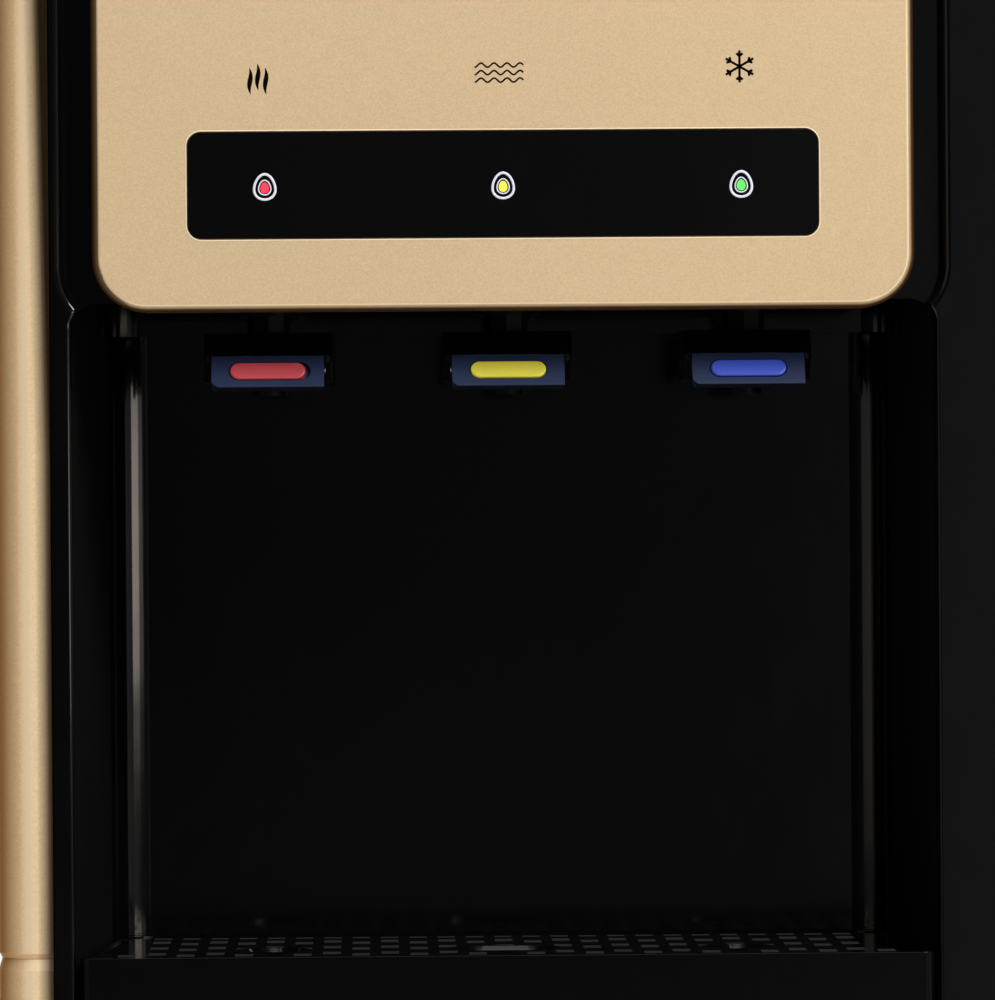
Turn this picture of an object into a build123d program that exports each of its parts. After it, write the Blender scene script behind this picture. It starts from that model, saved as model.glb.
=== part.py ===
from build123d import *
import os
from math import atan2, cos, floor, radians, sin

# Floor-standing hot, warm and cold water dispenser with a seat for an upturned bottle.
# Millimetres. The origin is on the floor under the middle of the cabinet, and the front faces -Y.

# Cabinet
cabinet_width = 321.0
cabinet_depth = 330.0
cabinet_height = 1000.0
head_height = 400.0
split_gap = 0.1
shoulder_height = 3.4
sill_height = 1.6
shoulder_inset = 1.0
seam_gap = 0.3
sheet_wall = 2.0
pillar_width = 17.0
pillar_setback = 3.0
pillar_radius = 12.0
lip_radius = 4.8
lip_depth = 16.0
rear_radius = 4.0

# Faces of the cabinet that the other sizes are measured from
front_y = -cabinet_depth / 2
rear_y = cabinet_depth / 2
pillar_front_y = front_y + pillar_setback
side_inner_x = cabinet_width / 2 - sheet_wall
pillar_inner_x = cabinet_width / 2 - pillar_width
body_split = cabinet_height - head_height

# Base
foot_height = 14.0
foot_radius = 17.0
foot_top_radius = 14.0
foot_stud_radius = 4.0
foot_inset_x = 39.5
foot_pitch_x = cabinet_width - 2 * foot_inset_x
foot_inset_y = 40.0
foot_pitch_y = cabinet_depth - 2 * foot_inset_y
stud_clearance = 0.2
deck_sheet = 2.0
base_rear_gap = 5.0

# Plinth and storage door
plinth_top = 56.0
plinth_depth = 17.0
plinth_wall = 2.5
plinth_slot_width = 5.0
plinth_slot_height = 20.0
plinth_slot_pitch = 14.0
door_gap = 2.0
door_drop = 50.0
door_top = body_split - door_drop
door_thickness = 18.0
door_wall = 3.0
door_setback = 1.0
door_edge_gap = 1.0
door_hinge_block = 14.0
door_pull_width = 9.0
door_pull_depth = 6.0
door_liner_wall = 2.5
door_liner_inset = 3.0
door_liner_ridge = 12.0
hinge_pin_radius = 3.0
hinge_pin_grip = 7.0
hinge_pin_reach = 12.0
running_clearance = 0.05
catch_width = 16.0
catch_height = 30.0
catch_depth = 11.0
catch_gap = 0.5

# Storage compartment
storage_side_gap = 4.0
storage_width = 2 * (pillar_inner_x - storage_side_gap)
storage_setback = 24.0
storage_front = front_y + storage_setback
machine_room = 143.0
storage_depth = rear_y - machine_room - storage_front
storage_drop = 54.0
storage_top = body_split - storage_drop
storage_wall = 2.5
storage_corner = 8.0

# Front module: bezel, niche and control panel share one centre line left of the cabinet's
module_x = -7.0
bezel_setback = 2.0
bezel_thickness = 14.0
bezel_front_y = pillar_front_y + bezel_setback
bezel_back_y = bezel_front_y + bezel_thickness
bezel_drop = 48.0
bezel_bottom = body_split - bezel_drop
head_wall_height = 355.0
cover_joint = body_split + head_wall_height
recess_side_gap = 4.05
recess_width = 2 * (pillar_inner_x + module_x - recess_side_gap)
recess_border = 4.0
panel_rise = 194.0
panel_bottom = body_split + panel_rise
recess_bottom = panel_bottom - recess_border
recess_radius = 17.0
recess_depth = 10.0
recess_edge = 2.4
panel_side_gap = 8.95
panel_width = recess_width - 2 * panel_side_gap
panel_head_gap = 7.0
panel_top = cover_joint - panel_head_gap
panel_radius = 16.5
panel_wall = 3.0
panel_edge_radius = 2.4
display_inset = 28.85
display_width = panel_width - 2 * display_inset
display_height = 32.0
display_radius = 4.0
display_rise = 37.8
display_level = panel_bottom + display_rise
display_thickness = 1.4
display_sink = 0.3
display_bevel = 0.25
display_ledge = 3.0
display_clearance = 0.15
indicator_width = 7.2
indicator_height = 8.9
indicator_inset = 23.15
indicator_pitch = display_width / 2 - indicator_inset
indicator_thickness = 2.4
indicator_clearance = 0.1
board_inset = 8.65
board_width = display_width - 2 * board_inset
board_height = 24.0
board_thickness = 1.6
led_size = 5.0
led_height = 4.4

# Dispensing niche
niche_inset = 2.15
niche_front_width = recess_width - 2 * niche_inset
niche_draft = 9.0
niche_back_width = niche_front_width - 2 * niche_draft
niche_drop = 39.0
niche_floor = body_split - niche_drop
niche_overlap = 3.0
niche_top = panel_bottom + niche_overlap
niche_top_radius = 7.5
mouth_edge = 1.0
niche_depth = 100.0
niche_corner_radius = 12.0
liner_wall = 2.5
liner_flange = 7.0
ledge_drop = 6.0
ledge_level = panel_bottom - ledge_drop
bay_height = 44.0
bay_top = ledge_level + bay_height
bay_depth = 77.0
bay_back_y = bezel_front_y + bay_depth

# Taps
tap_count = 3
tap_inset = 57.6
tap_pitch = niche_front_width / 2 - tap_inset
tap_shift = 1.5
tap_rise = 15.0
tap_level = ledge_level + tap_rise
valve_reach = 35.0
spigot_radius = 7.8
spigot_clearance = 0.2
spigot_length = 23.0
spigot_bore = 4.0
tap_flange_radius = 13.0
tap_flange_thickness = 3.0
barrel_radius = 9.0
chamber_radius = 10.0
chamber_round = 2.0
chamber_bore = 7.0
seat_drop = 6.0
seat_level = tap_level - seat_drop
chamber_roof = 3.0
chamber_skirt = 0.6
bonnet_flats = 12.0
hood_width = 39.0
hood_wall = 2.1
hood_top = ledge_level
hood_height = 7.0
hood_sill = hood_top - hood_height
hood_front_reach = 25.0
hood_slope = 5.0
hood_back_reach = 12.0
hood_round = 2.0
cheek_drop = 8.0
cheek_height = 8.0
cheek_bottom = hood_sill - cheek_height
nozzle_radius = 5.5
nozzle_bore = 3.5
nozzle_drop = 4.0
nozzle_tip = cheek_bottom - nozzle_drop
nut_flats = 24.0
nut_height = 9.0

# Press levers
paddle_width = 34.0
paddle_front_reach = 34.0
paddle_face_rise = 9.3
paddle_face_run = 6.0
paddle_rise = 2.6
paddle_foot = nozzle_tip + paddle_rise
paddle_lip = 1.3
paddle_lip_reach = 3.0
paddle_back_reach = 23.5
paddle_corners = (2.6, 1.6)
paddle_edge = 0.4
arm_width = 8.0
arm_height = 5.0
arm_tail_reach = 6.0
pivot_reach = 8.0
pivot_rise = 4.5
pivot_level = cheek_bottom + pivot_rise
pivot_radius = 2.0
pill_length = 22.8
pill_height = 5.7
pill_depth = 1.5
pill_rise = 0.7
pill_edge = 0.5
pill_clearance = 0.4
safety_travel = 1.2
stem_radius = 2.0
stem_bar_radius = 1.5
stem_bar_length = 26.0
stem_bar_gap = 0.2
stem_plug_radius = 6.0
stem_plug_height = 3.0
stem_slot_rise = 2.6

# Drip tray and grille
tray_front_gap = 1.3
tray_front_width = niche_front_width - 2 * tray_front_gap
tray_side_gap = 1.5
tray_back_width = niche_back_width - 2 * tray_side_gap
tray_rim = body_split
tray_wall = 2.2
tray_ledge = 3.0
tray_floor = 2.2
tray_proud = 1.0
tray_back_gap = 2.0
tray_lift = 0.3
tray_front_radius = 3.4
tray_edge = 0.2
tray_back_radius = 10.0
grille_thickness = 3.4
grille_sink = 0.4
grille_clearance = 0.4
slot_width = 5.4
slot_pitch_x = 8.85
slot_stagger = 7.0
slot_rows = ((11.0, 5.0, 0), (27.0, 10.0, 1), (52.0, 10.0, 1), (77.0, 10.0, 1), (94.5, 5.0, 0))
slot_margin = 2.0
slot_taper = 15.0
dish_columns = (-8, 0, 8)
dish_lengths = (19.0, 33.0, 19.0)
dish_width = 19.0
dish_land = 2.0
dish_depth = 2.0
dish_taper = 40.0
dish_setback = 6.0

# Top cover, bottle collar and feed probe
collar_proud = 10.0
cover_top = cabinet_height - collar_proud
cover_wall = 3.0
cover_edge_radius = 8.0
bottle_setback = 120.0
bottle_y = rear_y - bottle_setback
collar_rim_radius = 112.0
collar_hole_radius = 102.0
collar_mouth_radius = 96.0
collar_floor_radius = 48.0
collar_depth = 65.0
collar_floor = cabinet_height - collar_depth
collar_wall = 3.0
collar_spigot_radius = 58.0
collar_spigot_length = 10.0
probe_radius = 13.0
probe_bore = 9.0
probe_flange_radius = 22.0
probe_flange_height = 4.0
probe_height = 48.0
probe_tail = 30.0
probe_window_width = 8.0
probe_window_height = 18.0

# Tanks
tank_deck_gap = 4.0
tank_deck_level = bay_top + tank_deck_gap
tank_deck_setback = 7.0
tank_deck_front = bay_back_y + tank_deck_setback
middle_deck_level = storage_top
deck_rear_gap = 15.0
deck_rear = rear_y - deck_rear_gap
jacket_radius = 86.0
jacket_gap = 5.0
jacket_top = collar_floor - jacket_gap
jacket_floor = 18.0
cold_tank_radius = 62.0
cold_tank_wall = 1.2
tank_clearance = 0.3
stub_radius = 5.0
stub_bore = 3.5
stub_drop = 10.0
stub_clearance = 1.0
warm_stub_x = -10.0
warm_stub = (warm_stub_x, bottle_y)
cold_stub_x = 40.0
cold_stub = (cold_stub_x, bottle_y)
link_stub_x = -30.0
link_stub_shift = 30.0
link_stub = (link_stub_x, bottle_y + link_stub_shift)
hot_tank_x = -60.0
hot_tank_shift = 15.0
hot_tank_centre = (hot_tank_x, bottle_y + hot_tank_shift)
hot_tank_radius = 52.0
hot_tank_drop = 15.0
hot_tank_bottom = body_split - hot_tank_drop
hot_tank_height = 175.0
hot_tank_top = hot_tank_bottom + hot_tank_height
hot_tank_round = 14.0
hot_tank_wall = 1.5
hot_skirt_radius = 33.0
hot_skirt_wall = 2.0
hot_stub_height = 8.0
hot_stub_shift = 5.0
hot_stub_y = bottle_y + hot_stub_shift
band_height = 50.0
band_rise = 25.0
band_level = hot_tank_bottom + band_rise
band_thickness = 3.0
band_clearance = 0.2
band_ear = 14.0
hose_radius = 6.0
hose_bore = 4.0
hose_bend = 15.0
hose_straight = 35.0

# Cooling
compressor_x = 25.0
compressor_setback = 77.0
compressor_centre = (compressor_x, rear_y - compressor_setback)
compressor_radius = 57.0
compressor_height = 160.0
compressor_round = 30.0
compressor_seam = 3.0
compressor_seam_level = 95.0
compressor_foot_x = 160.0
compressor_foot_y = 84.0
compressor_foot_sheet = 3.0
compressor_lift = 10.0
mount_radius = 9.0
mount_inset = 11.0
mount_neck_radius = 4.0
terminal_width = 40.0
terminal_height = 46.0
terminal_reach = 14.0
condenser_setback = 9.0
condenser_y = rear_y - condenser_setback
condenser_low = 90.0
condenser_drop = 92.0
condenser_high = body_split - condenser_drop
condenser_passes = 12
condenser_pitch = (condenser_high - condenser_low) / (condenser_passes - 1)
condenser_inset = 37.5
condenser_half_run = cabinet_width / 2 - condenser_inset
condenser_tube = 2.5
condenser_wire = 0.8
condenser_wire_count = 17
condenser_wire_pitch = 14.0
condenser_wire_gap = 0.05
bracket_width = 12.0
bracket_height = 22.0
bracket_gap = 0.3

# Rear
rear_panel_inset = 4.5
rear_panel_width = cabinet_width - 2 * rear_panel_inset
rear_panel_drop = 44.0
rear_panel_bottom = body_split - rear_panel_drop
rear_panel_sheet = 2.0
rear_panel_recess = 8.0
louvre_width = 84.0
louvre_height = 5.0
louvre_pitch_x = 104.0
louvre_pitch_z = 14.0
louvre_columns = 2
louvre_rows = 9
louvre_rise = 160.0
louvre_level = body_split + louvre_rise
switch_inset = 59.5
switch_x = cabinet_width / 2 - switch_inset
switch_rise = 300.0
switch_level = body_split + switch_rise
switch_plate_width = 50.0
switch_plate_height = 34.0
switch_plate_thickness = 2.5
rocker_pitch = 20.0
rocker_width = 12.0
rocker_height = 20.0
rocker_thickness = 6.0
rocker_tilt = 8.0
rocker_clearance = 0.8
port_inset = 49.5
outlet_x = cabinet_width / 2 - port_inset
inlet_x = -outlet_x
port_drop = 10.0
port_level = body_split - port_drop
port_radius = 8.0
port_clearance = 0.2
port_flange_radius = 13.0
port_flange_height = 3.0
port_tail = 12.0
inlet_nose_radius = 7.0
inlet_nose_length = 5.0
inlet_bore = 4.0
cap_radius = 11.0
cap_length = 6.0
cap_wall = 2.0
cap_clearance = 0.3
cap_grip_count = 12
cap_grip_radius = 1.0
outlet_bore = 5.0

# Planes and faces that several pieces share
deck_width = 2 * (side_inner_x - seam_gap)
front_opening_width = 2 * (pillar_inner_x - seam_gap)
base_top = foot_height + deck_sheet
valve_y = bay_back_y - valve_reach
pivot_y = valve_y - pivot_reach
rear_skin_y = rear_y - sheet_wall - rear_panel_recess


def front_plane(y):
    """Vertical plane at depth y that faces the front: its own x is X and its own y is Z."""
    return Plane.XZ.offset(-y)


def save(piece, name):
    """Label a finished piece and write it as a node of its own."""
    piece.part.label = name
    export_step(piece.part, f"parts/{name}.step")


os.makedirs("parts", exist_ok=True)


def side_outline(side, level, inset, inner_inset):
    """Outline of a side panel at one level: its outer faces moved inward, and its inner face."""
    depth = rear_y - pillar_front_y
    middle_x = side * ((cabinet_width - pillar_width) / 2 + (inner_inset - inset) / 2)
    with BuildSketch(Plane.XY.offset(level)) as outline:
        with Locations((middle_x, (pillar_front_y + rear_y) / 2)):
            Rectangle(pillar_width - inset - inner_inset, depth - 2 * inset)
        outer, inner = outline.vertices().group_by(Axis.Y)[0].sort_by(Axis.X)[::-side]
        rear_outer = outline.vertices().group_by(Axis.Y)[-1].sort_by(Axis.X)[::-side][0]
        fillet(outer, pillar_radius - inset)
        fillet(inner, lip_radius - inner_inset)
        fillet(rear_outer, rear_radius - inset)
    return outline.sketch


# Side panels: a channel with a rounded front pillar, a return lip and a rear flange.
# They slope inward where they meet, which makes the joint a notch on the outside.
def side_panel(side, low, high, sill, shoulder, name):
    with BuildPart() as panel:
        extrude(side_outline(side, low + sill, 0, 0), amount=high - shoulder - low - sill)
        if sill:
            loft([side_outline(side, low, shoulder_inset, 0), side_outline(side, low + sill, 0, 0)])
        if shoulder:
            loft([side_outline(side, high - shoulder, 0, 0), side_outline(side, high, shoulder_inset, 0)])
        extrude(side_outline(side, low, sheet_wall, sheet_wall), amount=high - low, mode=Mode.SUBTRACT)
        mouth_front = pillar_front_y + lip_depth
        mouth_rear = rear_y - sheet_wall
        with BuildSketch(Plane.XY.offset(low)):
            with Locations((side * pillar_inner_x, (mouth_front + mouth_rear) / 2)):
                Rectangle(2 * sheet_wall, mouth_rear - mouth_front)
        extrude(amount=high - low, mode=Mode.SUBTRACT)
    save(panel, name)


lower_top = body_split - split_gap / 2
upper_bottom = body_split + split_gap / 2
side_panel(-1, foot_height, lower_top, 0, shoulder_height, "left_lower_side")
side_panel(1, foot_height, lower_top, 0, shoulder_height, "right_lower_side")
side_panel(-1, upper_bottom, cover_joint, sill_height, 0, "left_upper_side")
side_panel(1, upper_bottom, cover_joint, sill_height, 0, "right_upper_side")

# Base plate, with a tongue between the pillars and a hole for each foot stud
tongue_front = bezel_front_y
plate_front = pillar_front_y + lip_depth + seam_gap
plate_rear = rear_y - base_rear_gap
with BuildPart() as base_plate:
    with BuildSketch(Plane.XY.offset(foot_height)):
        with Locations((0, (plate_front + plate_rear) / 2)):
            Rectangle(deck_width, plate_rear - plate_front)
        with Locations((0, (tongue_front + plate_rear) / 2)):
            Rectangle(front_opening_width, plate_rear - tongue_front)
        with GridLocations(foot_pitch_x, foot_pitch_y, 2, 2):
            Circle(foot_stud_radius + stud_clearance, mode=Mode.SUBTRACT)
    extrude(amount=deck_sheet)
save(base_plate, "base_plate")

# Four feet: a tapered pad with a stud that goes up through the base plate
with BuildPart() as feet:
    with GridLocations(foot_pitch_x, foot_pitch_y, 2, 2):
        Cone(foot_radius, foot_top_radius, foot_height, align=(Align.CENTER, Align.CENTER, Align.MIN))
    with BuildSketch(Plane.XY.offset(foot_height)):
        with GridLocations(foot_pitch_x, foot_pitch_y, 2, 2):
            Circle(foot_stud_radius)
    extrude(amount=deck_sheet)
save(feet, "feet")

# Storage door: its hinge edge is round about the pin, its free edge is bevelled as a finger pull
door_front_y = front_y + door_setback
door_back_y = door_front_y + door_thickness
door_bottom = plinth_top + door_gap
hinge_x = pillar_inner_x - door_edge_gap - door_thickness / 2
hinge_y = door_front_y + door_thickness / 2
door_free_x = -(pillar_inner_x - door_edge_gap)
with BuildPart() as door_panel:
    with BuildSketch(Plane.XY.offset(door_bottom)):
        with Locations(((door_free_x + hinge_x) / 2, hinge_y)):
            Rectangle(hinge_x - door_free_x, door_thickness)
        with Locations((hinge_x, hinge_y)):
            Circle(door_thickness / 2)
    extrude(amount=door_top - door_bottom)
    free_edge = door_panel.edges().filter_by(Axis.Z).group_by(Axis.X)[0].sort_by(Axis.Y)[0]
    free_face = door_panel.faces().sort_by(Axis.X)[0]
    chamfer(free_edge, door_pull_depth, door_pull_width, reference=free_face)
    pocket_low = door_free_x + door_wall
    pocket_high = hinge_x - door_hinge_block
    with BuildSketch(front_plane(door_back_y)):
        with Locations(((pocket_low + pocket_high) / 2, (door_bottom + door_top) / 2)):
            Rectangle(pocket_high - pocket_low, door_top - door_bottom - 2 * door_wall)
    extrude(amount=door_thickness - door_pull_depth - door_wall, mode=Mode.SUBTRACT)
    pin_hole = hinge_pin_radius + running_clearance
    pin_hole_depth = hinge_pin_reach + running_clearance
    for hole_low in (door_bottom, door_top - pin_hole_depth):
        with BuildSketch(Plane.XY.offset(hole_low)):
            with Locations((hinge_x, hinge_y)):
                Circle(pin_hole)
        extrude(amount=pin_hole_depth, mode=Mode.SUBTRACT)
save(door_panel, "door_panel")

# Door liner: a moulded plate with a raised rib ring that closes the back of the door
with BuildPart() as door_liner:
    liner_width = pocket_high - pocket_low
    liner_height = door_top - door_bottom - 2 * door_liner_inset
    liner_middle = ((pocket_low + pocket_high) / 2, (door_bottom + door_top) / 2)
    with BuildSketch(front_plane(door_back_y)):
        with Locations(liner_middle):
            RectangleRounded(liner_width + door_wall, liner_height, storage_corner)
    extrude(amount=-door_liner_wall)
    with BuildSketch(front_plane(door_back_y)):
        with Locations(liner_middle):
            Rectangle(liner_width - door_liner_ridge, liner_height - door_liner_ridge)
            Rectangle(
                liner_width - 2 * door_liner_ridge,
                liner_height - 2 * door_liner_ridge,
                mode=Mode.SUBTRACT,
            )
    extrude(amount=door_wall)
save(door_liner, "door_liner")

# Plinth: a hollow kick strip on the base plate, with air slots and the lower hinge seat
with BuildPart() as plinth:
    plinth_height = plinth_top - base_top
    plinth_middle = (base_top + plinth_top) / 2
    with BuildSketch(front_plane(bezel_front_y)):
        with Locations((0, plinth_middle)):
            Rectangle(front_opening_width, plinth_height)
    extrude(amount=-plinth_depth)
    hollow_low = -front_opening_width / 2 + plinth_wall
    hollow_high = hinge_x - door_hinge_block
    with BuildSketch(front_plane(bezel_front_y + plinth_wall)):
        with Locations(((hollow_low + hollow_high) / 2, plinth_middle)):
            Rectangle(hollow_high - hollow_low, plinth_height - 2 * plinth_wall)
    extrude(amount=plinth_wall - plinth_depth, mode=Mode.SUBTRACT)
    with BuildSketch(front_plane(bezel_front_y)):
        with Locations(((hollow_low + hollow_high) / 2, plinth_middle)):
            slot_count = floor((hollow_high - hollow_low) / plinth_slot_pitch) - 1
            with GridLocations(plinth_slot_pitch, plinth_slot_height, slot_count, 1):
                SlotOverall(plinth_slot_height, plinth_slot_width, rotation=90)
    extrude(amount=-plinth_wall, mode=Mode.SUBTRACT)
    with BuildSketch(Plane.XY.offset(plinth_top)):
        with Locations((hinge_x, hinge_y)):
            Circle(pin_hole)
    extrude(amount=-hinge_pin_grip, mode=Mode.SUBTRACT)
save(plinth, "plinth")

# Two hinge pins: the lower one stands in the plinth, the upper one hangs from the bezel rail
with BuildPart() as door_pins:
    for pin_low, pin_high in (
        (plinth_top - hinge_pin_grip, door_bottom + hinge_pin_reach),
        (door_top - hinge_pin_reach, bezel_bottom + hinge_pin_grip),
    ):
        with BuildSketch(Plane.XY.offset(pin_low)):
            with Locations((hinge_x, hinge_y)):
                Circle(hinge_pin_radius)
        extrude(amount=pin_high - pin_low)
save(door_pins, "door_pins")

# Storage compartment: an open-fronted moulded box on the base plate
with BuildPart() as storage_liner:
    storage_height = storage_top - base_top
    storage_middle = (base_top + storage_top) / 2
    with BuildSketch(front_plane(storage_front)):
        with Locations((0, storage_middle)):
            RectangleRounded(storage_width, storage_height, storage_corner)
    extrude(amount=-storage_depth)
    with BuildSketch(front_plane(storage_front)):
        with Locations((0, storage_middle)):
            RectangleRounded(
                storage_width - 2 * storage_wall,
                storage_height - 2 * storage_wall,
                storage_corner - storage_wall,
            )
    extrude(amount=storage_wall - storage_depth, mode=Mode.SUBTRACT)
save(storage_liner, "storage_liner")

# Magnetic catch on the free side of the compartment, a hair behind the door liner
with BuildPart() as door_catch:
    catch_x = -(storage_width / 2 - storage_wall - catch_width / 2)
    catch_front = door_back_y + door_liner_wall + catch_gap
    with BuildSketch(front_plane(catch_front)):
        with Locations((catch_x, (door_bottom + door_top) / 2)):
            RectangleRounded(catch_width, catch_height, catch_width / 8)
            with GridLocations(0, catch_height / 2, 1, 2):
                Circle(catch_width / 8, mode=Mode.SUBTRACT)
    extrude(amount=-catch_depth)
save(door_catch, "door_catch")


# Decks: flat steel sheets between the side panels
def deck_sketch(level, front):
    with BuildSketch(Plane.XY.offset(level)) as deck:
        with Locations((0, (front + deck_rear) / 2)):
            Rectangle(deck_width, deck_rear - front)
    return deck.sketch


with BuildPart() as middle_deck:
    extrude(deck_sketch(middle_deck_level, storage_front), amount=deck_sheet)
save(middle_deck, "middle_deck")

with BuildPart() as tank_deck:
    extrude(deck_sketch(tank_deck_level, tank_deck_front), amount=deck_sheet)
    with BuildSketch(Plane.XY.offset(tank_deck_level)):
        with Locations(warm_stub, cold_stub, link_stub):
            Circle(stub_radius + stub_clearance)
    extrude(amount=deck_sheet, mode=Mode.SUBTRACT)
save(tank_deck, "tank_deck")

# Front bezel: gloss frame with the recess of the control panel and the mouth of the niche
recess_top = panel_top + recess_border
with BuildPart() as front_bezel:
    with BuildSketch(front_plane(bezel_front_y)):
        with Locations((0, (bezel_bottom + cover_joint) / 2)):
            Rectangle(front_opening_width, cover_joint - bezel_bottom)
    extrude(amount=-bezel_thickness)
    with BuildSketch(front_plane(bezel_front_y)):
        with Locations((module_x, (recess_bottom + recess_top) / 2)):
            RectangleRounded(recess_width, recess_top - recess_bottom, recess_radius)
    extrude(amount=-recess_depth, mode=Mode.SUBTRACT)
    fillet(front_bezel.faces().sort_by(Axis.Y)[0].inner_wires()[0].edges(), recess_edge)
    with BuildSketch(front_plane(bezel_front_y)) as mouth:
        with Locations((module_x, (niche_floor + niche_top) / 2)):
            Rectangle(niche_front_width, niche_top - niche_floor)
        fillet(mouth.vertices().group_by(Axis.Y)[-1], niche_top_radius)
    extrude(amount=-bezel_thickness, mode=Mode.SUBTRACT)
    mouth_sides = front_bezel.faces().sort_by(Axis.Y)[0].edges().filter_by(Axis.Z)
    fillet(mouth_sides.filter_by(lambda edge: edge.center().Z < niche_top).sort_by(Axis.X)[1:-1], mouth_edge)
    with BuildSketch(Plane.XY.offset(bezel_bottom)):
        with Locations((hinge_x, hinge_y)):
            Circle(pin_hole)
    extrude(amount=hinge_pin_grip, mode=Mode.SUBTRACT)
save(front_bezel, "front_bezel")


# Niche liner: drafted tub behind the bezel, with a raised bay at the top that carries the taps
def niche_plan(level, grow):
    """Drafted plan of the niche at one level, with every wall moved outward by grow."""
    niche_back_y = bezel_front_y + niche_depth
    half_front = niche_front_width / 2 + grow
    half_back = niche_back_width / 2 + grow
    with BuildSketch(Plane.XY.offset(level)) as plan:
        with BuildLine():
            Polyline(
                (module_x - half_front, bezel_back_y),
                (module_x + half_front, bezel_back_y),
                (module_x + half_back, niche_back_y + grow),
                (module_x - half_back, niche_back_y + grow),
                close=True,
            )
        make_face()
        fillet(plan.vertices().group_by(Axis.Y)[-1], niche_corner_radius + grow)
    return plan.sketch


def bay_plan(level, grow):
    """Plan of the tap bay at one level: the drafted plan of the niche, cut short."""
    share = (bay_back_y - bezel_back_y) / (niche_depth - bezel_thickness)
    half_front = niche_front_width / 2 + grow
    half_back = half_front - niche_draft * share
    with BuildSketch(Plane.XY.offset(level)) as plan:
        with BuildLine():
            Polyline(
                (module_x - half_front, bezel_back_y),
                (module_x + half_front, bezel_back_y),
                (module_x + half_back, bay_back_y + grow),
                (module_x - half_back, bay_back_y + grow),
                close=True,
            )
        make_face()
        fillet(plan.vertices().group_by(Axis.Y)[-1], niche_corner_radius + grow)
    return plan.sketch


tap_xs = [module_x + tap_shift + (i - (tap_count - 1) / 2) * tap_pitch for i in range(tap_count)]
with BuildPart() as niche_liner:
    tub_height = ledge_level - niche_floor + 2 * liner_wall
    extrude(niche_plan(niche_floor - liner_wall, liner_wall), amount=tub_height)
    extrude(bay_plan(ledge_level, liner_wall), amount=bay_top + liner_wall - ledge_level)
    with BuildSketch(front_plane(bezel_back_y)):
        with Locations((module_x, (niche_floor + bay_top) / 2)):
            Rectangle(niche_front_width + 2 * liner_flange, bay_top - niche_floor + 2 * liner_flange)
    extrude(amount=-liner_wall)
    extrude(niche_plan(niche_floor, 0), amount=ledge_level - niche_floor, mode=Mode.SUBTRACT)
    extrude(bay_plan(ledge_level, 0), amount=bay_top - ledge_level, mode=Mode.SUBTRACT)
    with BuildSketch(front_plane(bay_back_y)):
        with Locations(*[(x, tap_level) for x in tap_xs]):
            Circle(spigot_radius + spigot_clearance)
    extrude(amount=-liner_wall, mode=Mode.SUBTRACT)
save(niche_liner, "niche_liner")

# Control panel: gold shell that stands on the floor of the recess, with the display let in
panel_middle = (module_x, (panel_bottom + panel_top) / 2)
panel_height = panel_top - panel_bottom
panel_depth = bezel_front_y + recess_depth - front_y
display_place = (module_x, display_level)
display_seat = display_sink + display_thickness
with BuildPart() as control_panel:
    with BuildSketch(front_plane(front_y)):
        with Locations(panel_middle):
            RectangleRounded(panel_width, panel_height, panel_radius)
    extrude(amount=-panel_depth)
    fillet(control_panel.faces().sort_by(Axis.Y)[0].edges(), panel_edge_radius)
    with BuildSketch(front_plane(front_y + panel_wall)):
        with Locations(panel_middle):
            RectangleRounded(
                panel_width - 2 * panel_wall,
                panel_height - 2 * panel_wall,
                panel_radius - panel_wall,
            )
    extrude(amount=panel_wall - panel_depth, mode=Mode.SUBTRACT)
    with BuildSketch(front_plane(front_y)):
        with Locations(display_place):
            RectangleRounded(display_width, display_height, display_radius)
    extrude(amount=-display_seat, mode=Mode.SUBTRACT)
    chamfer(control_panel.faces().sort_by(Axis.Y)[0].inner_wires()[0].edges(), display_bevel)
    with BuildSketch(front_plane(front_y)):
        with Locations(display_place):
            Rectangle(display_width - 2 * display_ledge, display_height - 2 * display_ledge)
    extrude(amount=-panel_wall, mode=Mode.SUBTRACT)
save(control_panel, "control_panel")


def drop_outline(x, grow):
    """Drop-shaped face on the front of the display at x, round below and drawn out above."""
    radius = indicator_width / 2 + grow
    rise = indicator_height - indicator_width / 2 + grow
    drop_plane = Plane(origin=(x, display_front_y, indicator_z), x_dir=(1, 0, 0), z_dir=(0, -1, 0))
    with BuildSketch(drop_plane) as drop:
        with BuildLine():
            CenterArc((0, 0), radius, 180, 180)
            EllipticalCenterArc((0, 0), radius, rise, start_angle=0, arc_size=180)
        make_face()
    return drop.sketch


# Display window and its three indicator lenses, which are light pipes through the window
indicator_names = ("indicator_hot", "indicator_warm", "indicator_cold")
indicator_z = display_level - indicator_height / 2 + indicator_width / 2
indicator_xs = [module_x + (i - 1) * indicator_pitch for i in range(len(indicator_names))]
display_front_y = front_y + display_sink
with BuildPart() as display_window:
    with BuildSketch(front_plane(display_front_y)):
        with Locations(display_place):
            RectangleRounded(
                display_width - 2 * display_clearance,
                display_height - 2 * display_clearance,
                display_radius - display_clearance,
            )
    extrude(amount=-display_thickness)
    for x in indicator_xs:
        extrude(drop_outline(x, indicator_clearance), amount=-display_thickness, mode=Mode.SUBTRACT)
save(display_window, "display_window")

for x, name in zip(indicator_xs, indicator_names):
    with BuildPart() as lens:
        extrude(drop_outline(x, 0), amount=-indicator_thickness)
    save(lens, name)

# Control board behind the window: each lamp block meets the back of its lens
lamp_front_y = display_front_y + indicator_thickness
board_y = lamp_front_y + led_height
with BuildPart() as control_board:
    with BuildSketch(front_plane(board_y)):
        with Locations(display_place):
            Rectangle(board_width, board_height)
    extrude(amount=-board_thickness)
    with BuildSketch(front_plane(board_y)):
        with Locations(*[(x, display_level) for x in indicator_xs]):
            Rectangle(led_size, led_size)
    extrude(amount=led_height)
save(control_board, "control_board")


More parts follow.
